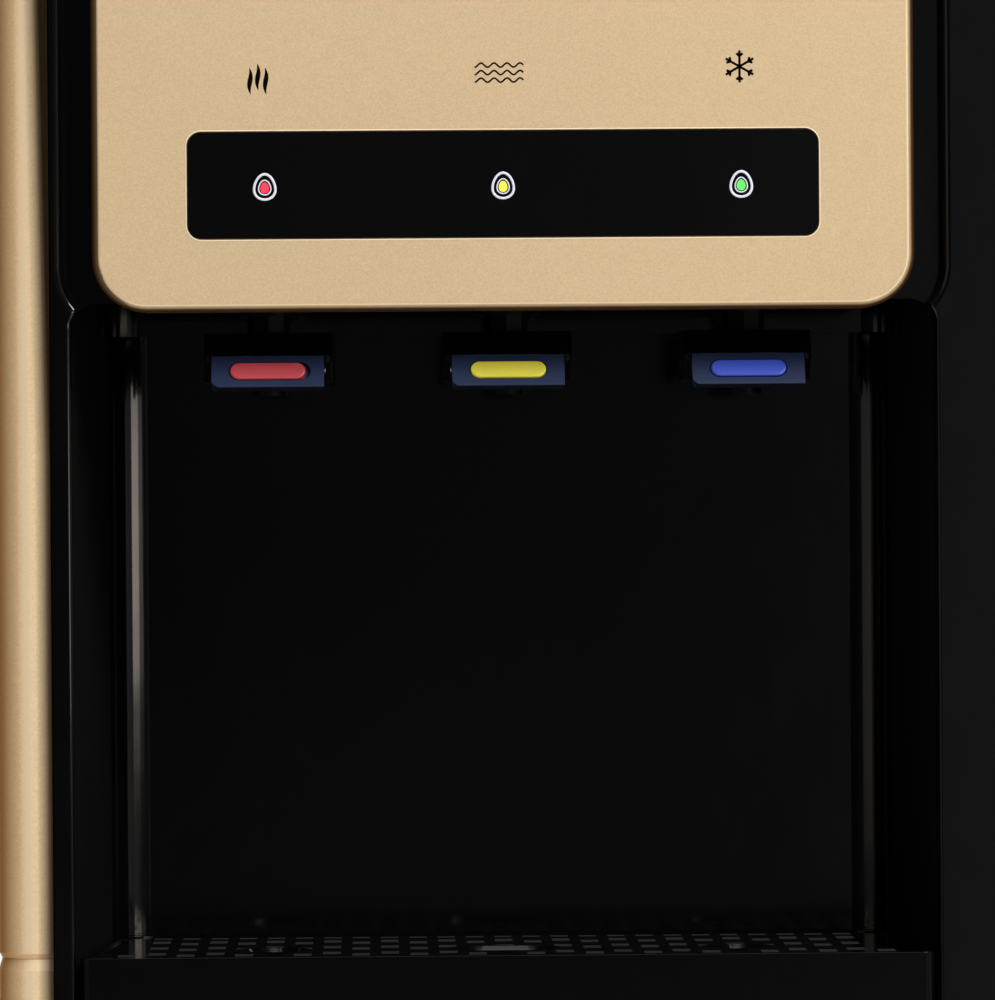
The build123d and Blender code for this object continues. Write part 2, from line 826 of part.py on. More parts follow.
# Taps: a spigot through the bay wall, a barrel, a valve chamber, and a hood that carries the lever
def tap_body(x, name):
    hood_front_y = valve_y - hood_front_reach
    hood_back_y = valve_y + hood_back_reach
    cheek_x = hood_width / 2 - hood_wall
    chamber_top = tap_level + barrel_radius
    with BuildPart() as body:
        with BuildSketch(front_plane(bay_back_y + spigot_length)):
            with Locations((x, tap_level)):
                Circle(spigot_radius)
        extrude(amount=spigot_length)
        with BuildSketch(front_plane(bay_back_y)):
            with Locations((x, tap_level)):
                Circle(tap_flange_radius)
        extrude(amount=tap_flange_thickness)
        with BuildSketch(front_plane(bay_back_y)):
            with Locations((x, tap_level)):
                Circle(barrel_radius)
        extrude(amount=valve_reach)
        with BuildSketch(Plane.XY.offset(tap_level - barrel_radius - chamber_skirt)):
            with Locations((x, valve_y)):
                Circle(chamber_radius)
        extrude(amount=2 * barrel_radius + chamber_skirt + chamber_roof)
        fillet(body.faces().sort_by(Axis.Z)[-1].edges(), chamber_round)
        with BuildSketch(Plane.XY.offset(hood_top)):
            with Locations((x, valve_y)):
                RegularPolygon(bonnet_flats / 2, 8, major_radius=False)
        extrude(amount=tap_level - hood_top)
        with BuildSketch(Plane.YZ.offset(x)):
            with BuildLine():
                Polyline(
                    (hood_front_y, hood_sill),
                    (hood_front_y + hood_slope, hood_top),
                    (hood_back_y, hood_top),
                    (hood_back_y, cheek_bottom),
                    (pivot_y - cheek_drop, cheek_bottom),
                    (hood_front_y, hood_sill - hood_wall),
                    close=True,
                )
            make_face()
        extrude(amount=hood_width / 2, both=True)
        sides = body.edges().filter_by(lambda edge: abs(abs(edge.center().X - x) - hood_width / 2) < 0.01)
        fillet(sides.filter_by(lambda edge: edge.center().Y < hood_front_y + hood_slope), hood_round)
        with BuildSketch(Plane.YZ.offset(x)):
            with BuildLine():
                Polyline(
                    (hood_front_y + hood_wall, hood_sill),
                    (hood_front_y + hood_wall + hood_slope, hood_top - hood_wall),
                    (hood_back_y, hood_top - hood_wall),
                    (hood_back_y, cheek_bottom),
                    (hood_front_y, cheek_bottom),
                    (hood_front_y, hood_sill),
                    close=True,
                )
            make_face()
        extrude(amount=cheek_x, both=True, mode=Mode.SUBTRACT)
        with BuildSketch(Plane.XY.offset(nozzle_tip)):
            with Locations((x, valve_y)):
                Circle(nozzle_radius)
        extrude(amount=hood_top - nozzle_tip)
        with BuildSketch(Plane.XY.offset(nozzle_tip)):
            with Locations((x, valve_y)):
                Circle(nozzle_bore)
        extrude(amount=seat_level - nozzle_tip, mode=Mode.SUBTRACT)
        with BuildSketch(Plane.XY.offset(seat_level)):
            with Locations((x, valve_y)):
                Circle(chamber_bore)
        extrude(amount=chamber_top - seat_level, mode=Mode.SUBTRACT)
        with BuildSketch(front_plane(bay_back_y + spigot_length)):
            with Locations((x, tap_level)):
                Circle(spigot_bore)
        extrude(amount=spigot_length + valve_reach, mode=Mode.SUBTRACT)
        bar_level = pivot_level + arm_height / 2 + stem_bar_gap + stem_bar_radius
        slot_low = bar_level - stem_bar_radius - stem_bar_gap
        slot_high = bar_level + stem_bar_radius + stem_slot_rise
        with BuildSketch(Plane.YZ.offset(x)):
            with Locations((valve_y, (slot_low + slot_high) / 2)):
                Rectangle(2 * (stem_bar_radius + stem_bar_gap), slot_high - slot_low)
        extrude(amount=nozzle_radius, both=True, mode=Mode.SUBTRACT)
        with BuildSketch(Plane.YZ.offset(x)):
            with Locations((pivot_y, pivot_level)):
                Circle(pivot_radius + running_clearance)
        extrude(amount=hood_width / 2, both=True, mode=Mode.SUBTRACT)
    save(body, name)


# Press lever: a sloped paddle in front, and two arms that pass the nozzle to lift the valve bar
paddle_toe_y = valve_y - paddle_front_reach
face_length = (paddle_face_rise**2 + paddle_face_run**2) ** 0.5
face_lean = atan2(paddle_face_run, paddle_face_rise)


def paddle_plane(x):
    """Plane on the sloped face of a paddle, with its origin in the middle of the face."""
    return Plane(
        origin=(x, paddle_toe_y + paddle_face_run / 2, paddle_foot + paddle_face_rise / 2),
        x_dir=(1, 0, 0),
        z_dir=(0, -cos(face_lean), sin(face_lean)),
    )


def tap_lever(x, name, play):
    paddle_top = paddle_foot + paddle_face_rise
    paddle_back_y = valve_y - paddle_back_reach
    arm_low = pivot_level - arm_height / 2
    arm_x = paddle_width / 2 - arm_width / 2
    with BuildPart() as lever:
        with BuildSketch(Plane.YZ.offset(x)):
            with BuildLine():
                Polyline(
                    (paddle_toe_y, paddle_foot),
                    (paddle_toe_y + paddle_face_run, paddle_top),
                    (paddle_back_y, paddle_top - paddle_lip / 4),
                    (paddle_back_y, arm_low),
                    (paddle_toe_y + paddle_lip_reach, paddle_foot - paddle_lip),
                    close=True,
                )
            make_face()
        extrude(amount=paddle_width / 2, both=True)
        fillet(lever.edges().filter_by(Axis.X).sort_by(Axis.Y)[0], paddle_edge)
        with BuildSketch(paddle_plane(x)) as front:
            with Locations((0, -face_length / 2)):
                Rectangle(paddle_width, 3 * face_length, align=(Align.CENTER, Align.MIN))
            left, right = front.vertices().group_by(Axis.Y)[0].sort_by(Axis.X)
            fillet(left, paddle_corners[0])
            fillet(right, paddle_corners[1])
        extrude(amount=paddle_back_reach, both=True, mode=Mode.INTERSECT)
        with BuildSketch(Plane.XY.offset(arm_low)):
            for side in (-1, 1):
                tail_y = valve_y + arm_tail_reach
                with Locations((x + side * arm_x, (paddle_back_y + tail_y) / 2)):
                    Rectangle(arm_width, tail_y - paddle_back_y)
        extrude(amount=arm_height)
        with BuildSketch(Plane.YZ.offset(x)):
            with Locations((pivot_y, pivot_level)):
                Circle(pivot_radius + running_clearance)
        extrude(amount=paddle_width / 2, both=True, mode=Mode.SUBTRACT)
        with BuildSketch(paddle_plane(x)):
            with Locations((play / 2, 0)):
                SlotOverall(pill_length + play + 2 * pill_clearance, pill_height + 2 * pill_clearance)
        extrude(amount=-pill_depth, mode=Mode.SUBTRACT)
    save(lever, name)


def pill_insert(x, name):
    with BuildPart() as pill:
        with BuildSketch(paddle_plane(x).offset(-pill_depth)):
            SlotOverall(pill_length, pill_height)
        extrude(amount=pill_depth + pill_rise)
        fillet(pill.faces().sort_by(Axis((0, 0, 0), paddle_plane(x).z_dir))[-1].edges(), pill_edge)
    save(pill, name)


def valve_stem(x, name):
    bar_level = pivot_level + arm_height / 2 + stem_bar_gap + stem_bar_radius
    with BuildPart() as stem:
        with BuildSketch(Plane.XY.offset(bar_level)):
            with Locations((x, valve_y)):
                Circle(stem_radius)
        extrude(amount=seat_level + stem_bar_gap - bar_level)
        with BuildSketch(Plane.YZ.offset(x)):
            with Locations((valve_y, bar_level)):
                Circle(stem_bar_radius)
        extrude(amount=stem_bar_length / 2, both=True)
        with BuildSketch(Plane.XY.offset(seat_level + stem_bar_gap)):
            with Locations((x, valve_y)):
                Circle(stem_plug_radius)
        extrude(amount=stem_plug_height)
    save(stem, name)


tap_names = ("hot", "warm", "cold")
insert_names = ("safety_slider_hot", "insert_warm", "insert_cold")
for x, tap, insert in zip(tap_xs, tap_names, insert_names):
    tap_body(x, f"tap_body_{tap}")
    tap_lever(x, f"tap_lever_{tap}", safety_travel if tap == "hot" else 0)
    pill_insert(x, insert)
    valve_stem(x, f"valve_stem_{tap}")

with BuildPart() as lever_pins:
    for x in tap_xs:
        with BuildSketch(Plane.YZ.offset(x)):
            with Locations((pivot_y, pivot_level)):
                Circle(pivot_radius)
        extrude(amount=hood_width / 2, both=True)
save(lever_pins, "lever_pins")

with BuildPart() as tap_nuts:
    with BuildSketch(front_plane(bay_back_y + liner_wall)):
        with Locations(*[(x, tap_level) for x in tap_xs]):
            RegularPolygon(nut_flats / 2, 6, major_radius=False)
            Circle(spigot_radius + spigot_clearance, mode=Mode.SUBTRACT)
    extrude(amount=-nut_height)
save(tap_nuts, "tap_nuts")

# Drip tray: a drafted tub that slides in on the floor of the niche, with a ledge for the grille
tray_front_y = bezel_front_y - tray_proud
tray_back_y = bezel_front_y + niche_depth - tray_back_gap
tray_bottom = niche_floor + tray_lift


def tray_half_width(y):
    """Half the outside width of the tray at depth y, between its front and its back."""
    share = (y - tray_front_y) / (tray_back_y - tray_front_y)
    return (tray_front_width + (tray_back_width - tray_front_width) * share) / 2


def tray_plan(level, inset):
    """Plan of the tray at one level, with every wall moved inward by inset."""
    with BuildSketch(Plane.XY.offset(level)) as plan:
        with BuildLine():
            Polyline(
                (module_x - tray_front_width / 2 + inset, tray_front_y + inset),
                (module_x + tray_front_width / 2 - inset, tray_front_y + inset),
                (module_x + tray_back_width / 2 - inset, tray_back_y - inset),
                (module_x - tray_back_width / 2 + inset, tray_back_y - inset),
                close=True,
            )
        make_face()
        fillet(plan.vertices().group_by(Axis.Y)[0], tray_front_radius)
        fillet(plan.vertices().group_by(Axis.Y)[-1], tray_back_radius)
    return plan.sketch


grille_top = tray_rim - grille_sink
grille_bottom = grille_top - grille_thickness
with BuildPart() as drip_tray:
    extrude(tray_plan(tray_bottom, 0), amount=tray_rim - tray_bottom)
    fillet(drip_tray.faces().sort_by(Axis.Z)[-1].edges(), tray_edge)
    extrude(tray_plan(grille_bottom, tray_wall), amount=tray_rim - grille_bottom, mode=Mode.SUBTRACT)
    tub_floor = tray_bottom + tray_floor
    tub_plan = tray_plan(tub_floor, tray_wall + tray_ledge)
    extrude(tub_plan, amount=grille_bottom - tub_floor, mode=Mode.SUBTRACT)
save(drip_tray, "drip_tray")

# Drip grille: rows of slots, as many in each row as the flared outline has room for, and a dish
# under each tap. In the long rows every other slot stands further forward.
with BuildPart() as drip_grille:
    extrude(tray_plan(grille_bottom, tray_wall + grille_clearance), amount=grille_thickness)
    with BuildSketch(Plane.XY.offset(grille_top)):
        for setback, slot_length, staggered in slot_rows:
            row_y = tray_back_y - setback
            room = tray_half_width(row_y + slot_length / 2) - tray_wall - tray_ledge - slot_margin
            reach = floor((room - slot_width / 2) / slot_pitch_x)
            for column in range(-reach, reach + 1):
                forward = slot_stagger * staggered * (column % 2)
                with Locations((module_x + column * slot_pitch_x, row_y - forward)):
                    Rectangle(slot_width, slot_length)
    extrude(amount=-grille_thickness, taper=slot_taper, mode=Mode.SUBTRACT)
    for column, length in zip(dish_columns, dish_lengths):
        dish_place = (module_x + column * slot_pitch_x, valve_y - dish_setback)
        with BuildSketch(Plane.XY.offset(grille_top)):
            with Locations(dish_place):
                SlotOverall(length + 2 * dish_land, dish_width + 2 * dish_land)
        extrude(amount=-grille_thickness)
        with BuildSketch(Plane.XY.offset(grille_top)):
            with Locations(dish_place):
                SlotOverall(length, dish_width)
        extrude(amount=-dish_depth, taper=dish_taper, mode=Mode.SUBTRACT)
save(drip_grille, "drip_grille")

# Top cover: a lid over the cabinet with a round hole for the collar
with BuildPart() as top_cover:
    cover_middle_y = (pillar_front_y + rear_y) / 2
    cover_depth = rear_y - pillar_front_y
    with BuildSketch(Plane.XY.offset(cover_joint)):
        with Locations((0, cover_middle_y)):
            RectangleRounded(cabinet_width, cover_depth, pillar_radius)
    extrude(amount=cover_top - cover_joint)
    fillet(top_cover.faces().sort_by(Axis.Z)[-1].edges(), cover_edge_radius)
    with BuildSketch(Plane.XY.offset(cover_joint)):
        with Locations((0, cover_middle_y)):
            RectangleRounded(
                cabinet_width - 2 * cover_wall,
                cover_depth - 2 * cover_wall,
                pillar_radius - cover_wall,
            )
    extrude(amount=cover_top - cover_joint - cover_edge_radius, mode=Mode.SUBTRACT)
    with BuildSketch(Plane.XY.offset(cover_joint)):
        with Locations((0, bottle_y)):
            Circle(collar_hole_radius)
    extrude(amount=cover_top - cover_joint, mode=Mode.SUBTRACT)
save(top_cover, "top_cover")

# Bottle collar: a turned funnel that hangs in the cover, with a spigot into the cold tank
with BuildPart() as bottle_collar:
    with BuildSketch(Plane.XZ.offset(-bottle_y)):
        with BuildLine():
            Polyline(
                (collar_rim_radius, cover_top),
                (collar_rim_radius, cabinet_height - collar_wall),
                (collar_rim_radius - collar_wall, cabinet_height),
                (collar_mouth_radius, cabinet_height),
                (collar_mouth_radius, cover_top - collar_wall),
                (collar_floor_radius, collar_floor),
                (probe_radius + tank_clearance, collar_floor),
                (probe_radius + tank_clearance, collar_floor - collar_wall),
                (collar_spigot_radius - collar_wall, collar_floor - collar_wall),
                (collar_spigot_radius - collar_wall, collar_floor - collar_wall - collar_spigot_length),
                (collar_spigot_radius, collar_floor - collar_wall - collar_spigot_length),
                (collar_spigot_radius, collar_floor),
                (collar_mouth_radius + collar_wall, cover_top - collar_wall),
                (collar_mouth_radius + collar_wall, cover_top),
                close=True,
            )
        make_face()
    revolve(axis=Axis((0, bottle_y, 0), (0, 0, 1)))
save(bottle_collar, "bottle_collar")

# Feed probe: a hollow spike on the collar floor, with windows that let the water in
with BuildPart() as feed_probe:
    probe_tip = collar_floor + probe_height
    with BuildSketch(Plane.XZ.offset(-bottle_y)):
        with BuildLine():
            Polyline(
                (probe_bore, collar_floor - probe_tail),
                (probe_radius, collar_floor - probe_tail),
                (probe_radius, collar_floor),
                (probe_flange_radius, collar_floor),
                (probe_flange_radius, collar_floor + probe_flange_height),
                (probe_radius, collar_floor + probe_flange_height),
                (probe_radius, probe_tip - probe_radius),
                (probe_bore / 2, probe_tip),
                (0, probe_tip),
                (0, probe_tip - probe_radius),
                (probe_bore, probe_tip - probe_radius),
                close=True,
            )
        make_face()
    revolve(axis=Axis((0, bottle_y, 0), (0, 0, 1)))
    window_level = probe_tip - probe_radius - probe_window_height / 2 - probe_flange_height
    with BuildSketch(front_plane(bottle_y)):
        with Locations((0, window_level)):
            SlotOverall(probe_window_height, probe_window_width, rotation=90)
    extrude(amount=2 * probe_radius, both=True, mode=Mode.SUBTRACT)
save(feed_probe, "feed_probe")

# Cold tank in its insulation jacket, with three outlets through the jacket and the tank deck
tank_floor = tank_deck_level + deck_sheet + jacket_floor
stub_end = tank_deck_level - stub_drop
with BuildPart() as cold_tank_jacket:
    with BuildSketch(Plane.XY.offset(tank_deck_level + deck_sheet)):
        with Locations((0, bottle_y)):
            Circle(jacket_radius)
    extrude(amount=jacket_top - tank_deck_level - deck_sheet)
    with BuildSketch(Plane.XY.offset(tank_floor)):
        with Locations((0, bottle_y)):
            Circle(cold_tank_radius + tank_clearance)
    extrude(amount=jacket_top - tank_floor, mode=Mode.SUBTRACT)
    with BuildSketch(Plane.XY.offset(tank_deck_level + deck_sheet)):
        with Locations(warm_stub, cold_stub, link_stub):
            Circle(stub_radius + stub_clearance)
    extrude(amount=jacket_floor, mode=Mode.SUBTRACT)
save(cold_tank_jacket, "cold_tank_jacket")

with BuildPart() as cold_tank:
    with BuildSketch(Plane.XY.offset(tank_floor)):
        with Locations((0, bottle_y)):
            Circle(cold_tank_radius)
    extrude(amount=jacket_top - tank_floor)
    with BuildSketch(Plane.XY.offset(tank_floor + cold_tank_wall)):
        with Locations((0, bottle_y)):
            Circle(cold_tank_radius - cold_tank_wall)
    extrude(amount=jacket_top - tank_floor - cold_tank_wall, mode=Mode.SUBTRACT)
    with BuildSketch(Plane.XY.offset(stub_end)):
        with Locations(warm_stub, cold_stub, link_stub):
            Circle(stub_radius)
    extrude(amount=tank_floor - stub_end)
    with BuildSketch(Plane.XY.offset(stub_end)):
        with Locations(warm_stub, cold_stub, link_stub):
            Circle(stub_bore)
    extrude(amount=tank_floor + cold_tank_wall - stub_end, mode=Mode.SUBTRACT)
save(cold_tank, "cold_tank")

# Hot tank: a closed vessel on a skirt, with an outlet on top and a band heater round its foot
hot_stub = (tap_xs[0], hot_stub_y)
hot_skirt_low = middle_deck_level + deck_sheet
with BuildPart() as hot_tank:
    with BuildSketch(Plane.XY.offset(hot_tank_bottom)):
        with Locations(hot_tank_centre):
            Circle(hot_tank_radius)
    extrude(amount=hot_tank_top - hot_tank_bottom)
    fillet(hot_tank.edges().filter_by(GeomType.CIRCLE), hot_tank_round)
    with BuildSketch(Plane.XY.offset(hot_tank_top)):
        with Locations(hot_stub):
            Circle(stub_radius)
    extrude(amount=hot_stub_height)
    with BuildSketch(Plane.XY.offset(hot_skirt_low)):
        with Locations(hot_tank_centre):
            Circle(hot_skirt_radius)
            Circle(hot_skirt_radius - hot_skirt_wall, mode=Mode.SUBTRACT)
    extrude(amount=hot_tank_bottom - hot_skirt_low)
    with BuildSketch(Plane.XY.offset(hot_tank_bottom + hot_tank_wall)):
        with Locations(hot_tank_centre):
            Circle(hot_tank_radius - hot_tank_round)
    extrude(amount=hot_tank_top - hot_tank_bottom - 2 * hot_tank_wall, mode=Mode.SUBTRACT)
    with BuildSketch(Plane.XY.offset(hot_tank_bottom + hot_tank_round)):
        with Locations(hot_tank_centre):
            Circle(hot_tank_radius - hot_tank_wall)
    extrude(amount=hot_tank_top - hot_tank_bottom - 2 * hot_tank_round, mode=Mode.SUBTRACT)
    with BuildSketch(Plane.XY.offset(hot_tank_top - hot_tank_round)):
        with Locations(hot_stub, link_stub):
            Circle(stub_bore)
    extrude(amount=hot_tank_round + hot_stub_height, mode=Mode.SUBTRACT)
save(hot_tank, "hot_tank")

with BuildPart() as heater_band:
    band_inner = hot_tank_radius + band_clearance
    band_outer = band_inner + band_thickness
    with BuildSketch(Plane.XY.offset(band_level)):
        with Locations(hot_tank_centre):
            Circle(band_outer)
            with Locations((0, band_outer)):
                Rectangle(band_ear, band_ear)
            Circle(band_inner, mode=Mode.SUBTRACT)
            with Locations((0, band_outer)):
                Rectangle(band_thickness, 2 * band_ear, mode=Mode.SUBTRACT)
    extrude(amount=band_height)
save(heater_band, "heater_band")

with BuildPart() as tank_link_pipe:
    with BuildSketch(Plane.XY.offset(hot_tank_top)):
        with Locations(link_stub):
            Circle(stub_radius)
            Circle(stub_bore, mode=Mode.SUBTRACT)
    extrude(amount=stub_end - hot_tank_top)
save(tank_link_pipe, "tank_link_pipe")


# Hoses: from each outlet to the end of its tap's spigot, in straight runs and round bends
def hose(start, tap_x, name):
    spigot_end_y = bay_back_y + spigot_length
    turn = (start[0], start[1], tap_level)
    straight = (tap_x, spigot_end_y + hose_straight, tap_level)
    end = (tap_x, spigot_end_y, tap_level)
    points = [start, turn, end] if start[0] == tap_x else [start, turn, straight, end]
    with BuildPart() as tube:
        with BuildLine() as route:
            FilletPolyline(*points, radius=hose_bend)
        with BuildSketch(Plane(origin=start, z_dir=route.line @ 0.01 - route.line @ 0)):
            Circle(hose_radius)
            Circle(hose_bore, mode=Mode.SUBTRACT)
        sweep(path=route.line)
    save(tube, name)


hose((hot_stub[0], hot_stub[1], hot_tank_top + hot_stub_height), tap_xs[0], "hose_hot")
hose((*warm_stub, stub_end), tap_xs[1], "hose_warm")
hose((*cold_stub, stub_end), tap_xs[2], "hose_cold")

# Compressor: a welded shell on a foot plate, with its terminal box, on four rubber mounts
mount_pitch_x = compressor_foot_x - 2 * mount_inset
mount_pitch_y = compressor_foot_y - 2 * mount_inset
foot_plate_low = base_top + compressor_lift
shell_low = foot_plate_low + compressor_foot_sheet
with BuildPart() as compressor:
    with BuildSketch(Plane.XY.offset(foot_plate_low)):
        with Locations(compressor_centre):
            RectangleRounded(compressor_foot_x, compressor_foot_y, mount_radius)
            with GridLocations(mount_pitch_x, mount_pitch_y, 2, 2):
                Circle(mount_neck_radius + stud_clearance, mode=Mode.SUBTRACT)
    extrude(amount=compressor_foot_sheet)
    with BuildSketch(Plane.XY.offset(shell_low)):
        with Locations(compressor_centre):
            Circle(compressor_radius)
    extrude(amount=compressor_height)
    fillet(compressor.faces().sort_by(Axis.Z)[-1].edges(), compressor_round)
    with BuildSketch(Plane.XY.offset(shell_low + compressor_seam_level)):
        with Locations(compressor_centre):
            Circle(compressor_radius + compressor_seam)
    extrude(amount=compressor_seam)
    terminal_x = compressor_centre[0] - compressor_radius
    with BuildSketch(Plane.YZ.offset(terminal_x - terminal_reach)):
        with Locations((compressor_centre[1], shell_low + compressor_seam_level - terminal_height)):
            RectangleRounded(terminal_width, terminal_height, compressor_seam)
    extrude(amount=terminal_reach + compressor_round)
save(compressor, "compressor")

with BuildPart() as compressor_mounts:
    with BuildSketch(Plane.XY.offset(base_top)):
        with Locations(compressor_centre):
            with GridLocations(mount_pitch_x, mount_pitch_y, 2, 2):
                Circle(mount_radius)
    extrude(amount=compressor_lift)
    with BuildSketch(Plane.XY.offset(foot_plate_low)):
        with Locations(compressor_centre):
            with GridLocations(mount_pitch_x, mount_pitch_y, 2, 2):
                Circle(mount_neck_radius)
    extrude(amount=compressor_foot_sheet + stud_clearance)
save(compressor_mounts, "compressor_mounts")


# Condenser: one tube bent to and fro behind the cabinet, with wires on both sides of it
def serpentine():
    """Centre line of the condenser tube: straight passes joined by half turns."""
    bend = condenser_pitch / 2
    with BuildLine(front_plane(condenser_y)) as line:
        for i in range(condenser_passes):
            level = condenser_low + i * condenser_pitch
            way = 1 if i % 2 == 0 else -1
            Line((-way * condenser_half_run, level), (way * condenser_half_run, level))
            if i < condenser_passes - 1:
                ThreePointArc(
                    (way * condenser_half_run, level),
                    (way * (condenser_half_run + bend), level + bend),
                    (way * condenser_half_run, level + condenser_pitch),
                )
    return line.line


with BuildPart() as condenser:
    tube_path = serpentine()
    with BuildSketch(Plane.YZ.offset(-condenser_half_run)):
        with Locations((condenser_y, condenser_low)):
            Circle(condenser_tube)
    sweep(path=tube_path)
    wire_overhang = condenser_pitch / 4
    wire_offset = condenser_tube + condenser_wire + condenser_wire_gap
    with BuildSketch(Plane.XY.offset(condenser_low - wire_overhang)):
        with Locations((0, condenser_y)):
            with GridLocations(condenser_wire_pitch, 2 * wire_offset, condenser_wire_count, 2):
                Circle(condenser_wire)
    extrude(amount=condenser_high - condenser_low + 2 * wire_overhang)
save(condenser, "condenser")

# Brackets: four clips between the rear flanges and the half turns of the tube
with BuildPart() as condenser_brackets:
    bracket_front = condenser_y + condenser_tube + bracket_gap
    bracket_x = condenser_half_run + condenser_pitch / 2
    left_turns = (condenser_low + condenser_pitch * 1.5, condenser_high - condenser_pitch * 1.5)
    right_turns = (condenser_low + condenser_pitch * 0.5, condenser_high - condenser_pitch * 0.5)
    with BuildSketch(front_plane(bracket_front)):
        with Locations(*[(-bracket_x, level) for level in left_turns]):
            RectangleRounded(bracket_width, bracket_height, condenser_tube)
        with Locations(*[(bracket_x, level) for level in right_turns]):
            RectangleRounded(bracket_width, bracket_height, condenser_tube)
    extrude(amount=bracket_front - (rear_y - sheet_wall))
save(condenser_brackets, "condenser_brackets")

# Rear panel: a shallow channel behind the tanks, with louvres and holes for what it carries
rear_plate_in = rear_skin_y - rear_panel_sheet
switch_window_width = rocker_width + 2 * rocker_clearance
switch_window_height = rocker_height + 2 * rocker_clearance
rocker_xs = (switch_x - rocker_pitch / 2, switch_x + rocker_pitch / 2)
with BuildPart() as rear_panel:
    channel_depth = rear_panel_sheet + rear_panel_recess
    with BuildSketch(Plane.XY.offset(rear_panel_bottom)):
        with Locations((0, rear_plate_in + channel_depth / 2)):
            Rectangle(rear_panel_width, channel_depth)
        with Locations((0, rear_skin_y + rear_panel_recess / 2)):
            Rectangle(rear_panel_width - 2 * rear_panel_sheet, rear_panel_recess, mode=Mode.SUBTRACT)
    extrude(amount=cover_joint - rear_panel_bottom)
    with BuildSketch(front_plane(rear_skin_y)):
        with Locations((0, louvre_level)):
            with GridLocations(louvre_pitch_x, louvre_pitch_z, louvre_columns, louvre_rows):
                SlotOverall(louvre_width, louvre_height)
        with Locations(*[(x, switch_level) for x in rocker_xs]):
            Rectangle(switch_window_width, switch_window_height)
        with Locations((inlet_x, port_level), (outlet_x, port_level)):
            Circle(port_radius + port_clearance)
    extrude(amount=rear_panel_sheet, mode=Mode.SUBTRACT)
save(rear_panel, "rear_panel")

# Switch plate and its two rockers, each resting with its upper end pressed in
with BuildPart() as switch_plate:
    with BuildSketch(front_plane(rear_skin_y)):
        with Locations((switch_x, switch_level)):
            RectangleRounded(switch_plate_width, switch_plate_height, switch_plate_thickness)
        with Locations(*[(x, switch_level) for x in rocker_xs]):
            Rectangle(switch_window_width, switch_window_height, mode=Mode.SUBTRACT)
    extrude(amount=-switch_plate_thickness)
save(switch_plate, "switch_plate")

rocker_y = rear_skin_y + switch_plate_thickness / 2
for x, name in zip(rocker_xs, ("rocker_heating", "rocker_cooling")):
    lean = radians(rocker_tilt)
    tilted = Plane(origin=(x, rocker_y, switch_level), x_dir=(1, 0, 0), z_dir=(0, cos(lean), sin(lean)))
    with BuildPart() as rocker:
        with BuildSketch(tilted):
            Rectangle(rocker_width, rocker_height)
        extrude(amount=rocker_thickness / 2, both=True)
        fillet(rocker.edges().filter_by(Axis.X), rocker_clearance)
    save(rocker, name)

# Cord inlet: a bush through the rear panel with an empty bore
port_face_y = rear_skin_y + port_flange_height
with BuildPart() as power_inlet:
    with BuildSketch(front_plane(rear_skin_y)):
        with Locations((inlet_x, port_level)):
            Circle(port_flange_radius)
    extrude(amount=-port_flange_height)
    with BuildSketch(front_plane(rear_skin_y)):
        with Locations((inlet_x, port_level)):
            Circle(port_radius)
    extrude(amount=port_tail)
    with BuildSketch(front_plane(port_face_y)):
        with Locations((inlet_x, port_level)):
            Circle(inlet_nose_radius)
    extrude(amount=-inlet_nose_length)
    with BuildSketch(front_plane(rear_skin_y - port_tail)):
        with Locations((inlet_x, port_level)):
            Circle(inlet_bore)
    extrude(amount=-(port_tail + port_flange_height + inlet_nose_length), mode=Mode.SUBTRACT)
save(power_inlet, "power_inlet")

# Drain outlet: a flanged pipe through the rear panel, closed by a ribbed cap
outlet_end = port_face_y + cap_length - cap_wall - cap_clearance
with BuildPart() as drain_outlet:
    with BuildSketch(front_plane(rear_skin_y)):
        with Locations((outlet_x, port_level)):
            Circle(port_flange_radius)
    extrude(amount=-port_flange_height)
    with BuildSketch(front_plane(rear_skin_y - port_tail)):
        with Locations((outlet_x, port_level)):
            Circle(port_radius)
    extrude(amount=-(outlet_end - rear_skin_y + port_tail))
    with BuildSketch(front_plane(rear_skin_y - port_tail)):
        with Locations((outlet_x, port_level)):
            Circle(outlet_bore)
    extrude(amount=-(outlet_end - rear_skin_y + port_tail), mode=Mode.SUBTRACT)
save(drain_outlet, "drain_outlet")

with BuildPart() as drain_cap:
    with BuildSketch(front_plane(port_face_y)):
        with Locations((outlet_x, port_level)):
            Circle(cap_radius)
            with PolarLocations(cap_radius, cap_grip_count):
                Circle(cap_grip_radius, mode=Mode.SUBTRACT)
    extrude(amount=-cap_length)
    with BuildSketch(front_plane(port_face_y)):
        with Locations((outlet_x, port_level)):
            Circle(port_radius + cap_clearance)
    extrude(amount=cap_wall - cap_length, mode=Mode.SUBTRACT)
save(drain_cap, "drain_cap")
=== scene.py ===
from math import cos, pi, radians, sin

import bmesh
import bpy
from mathutils import Matrix, Vector


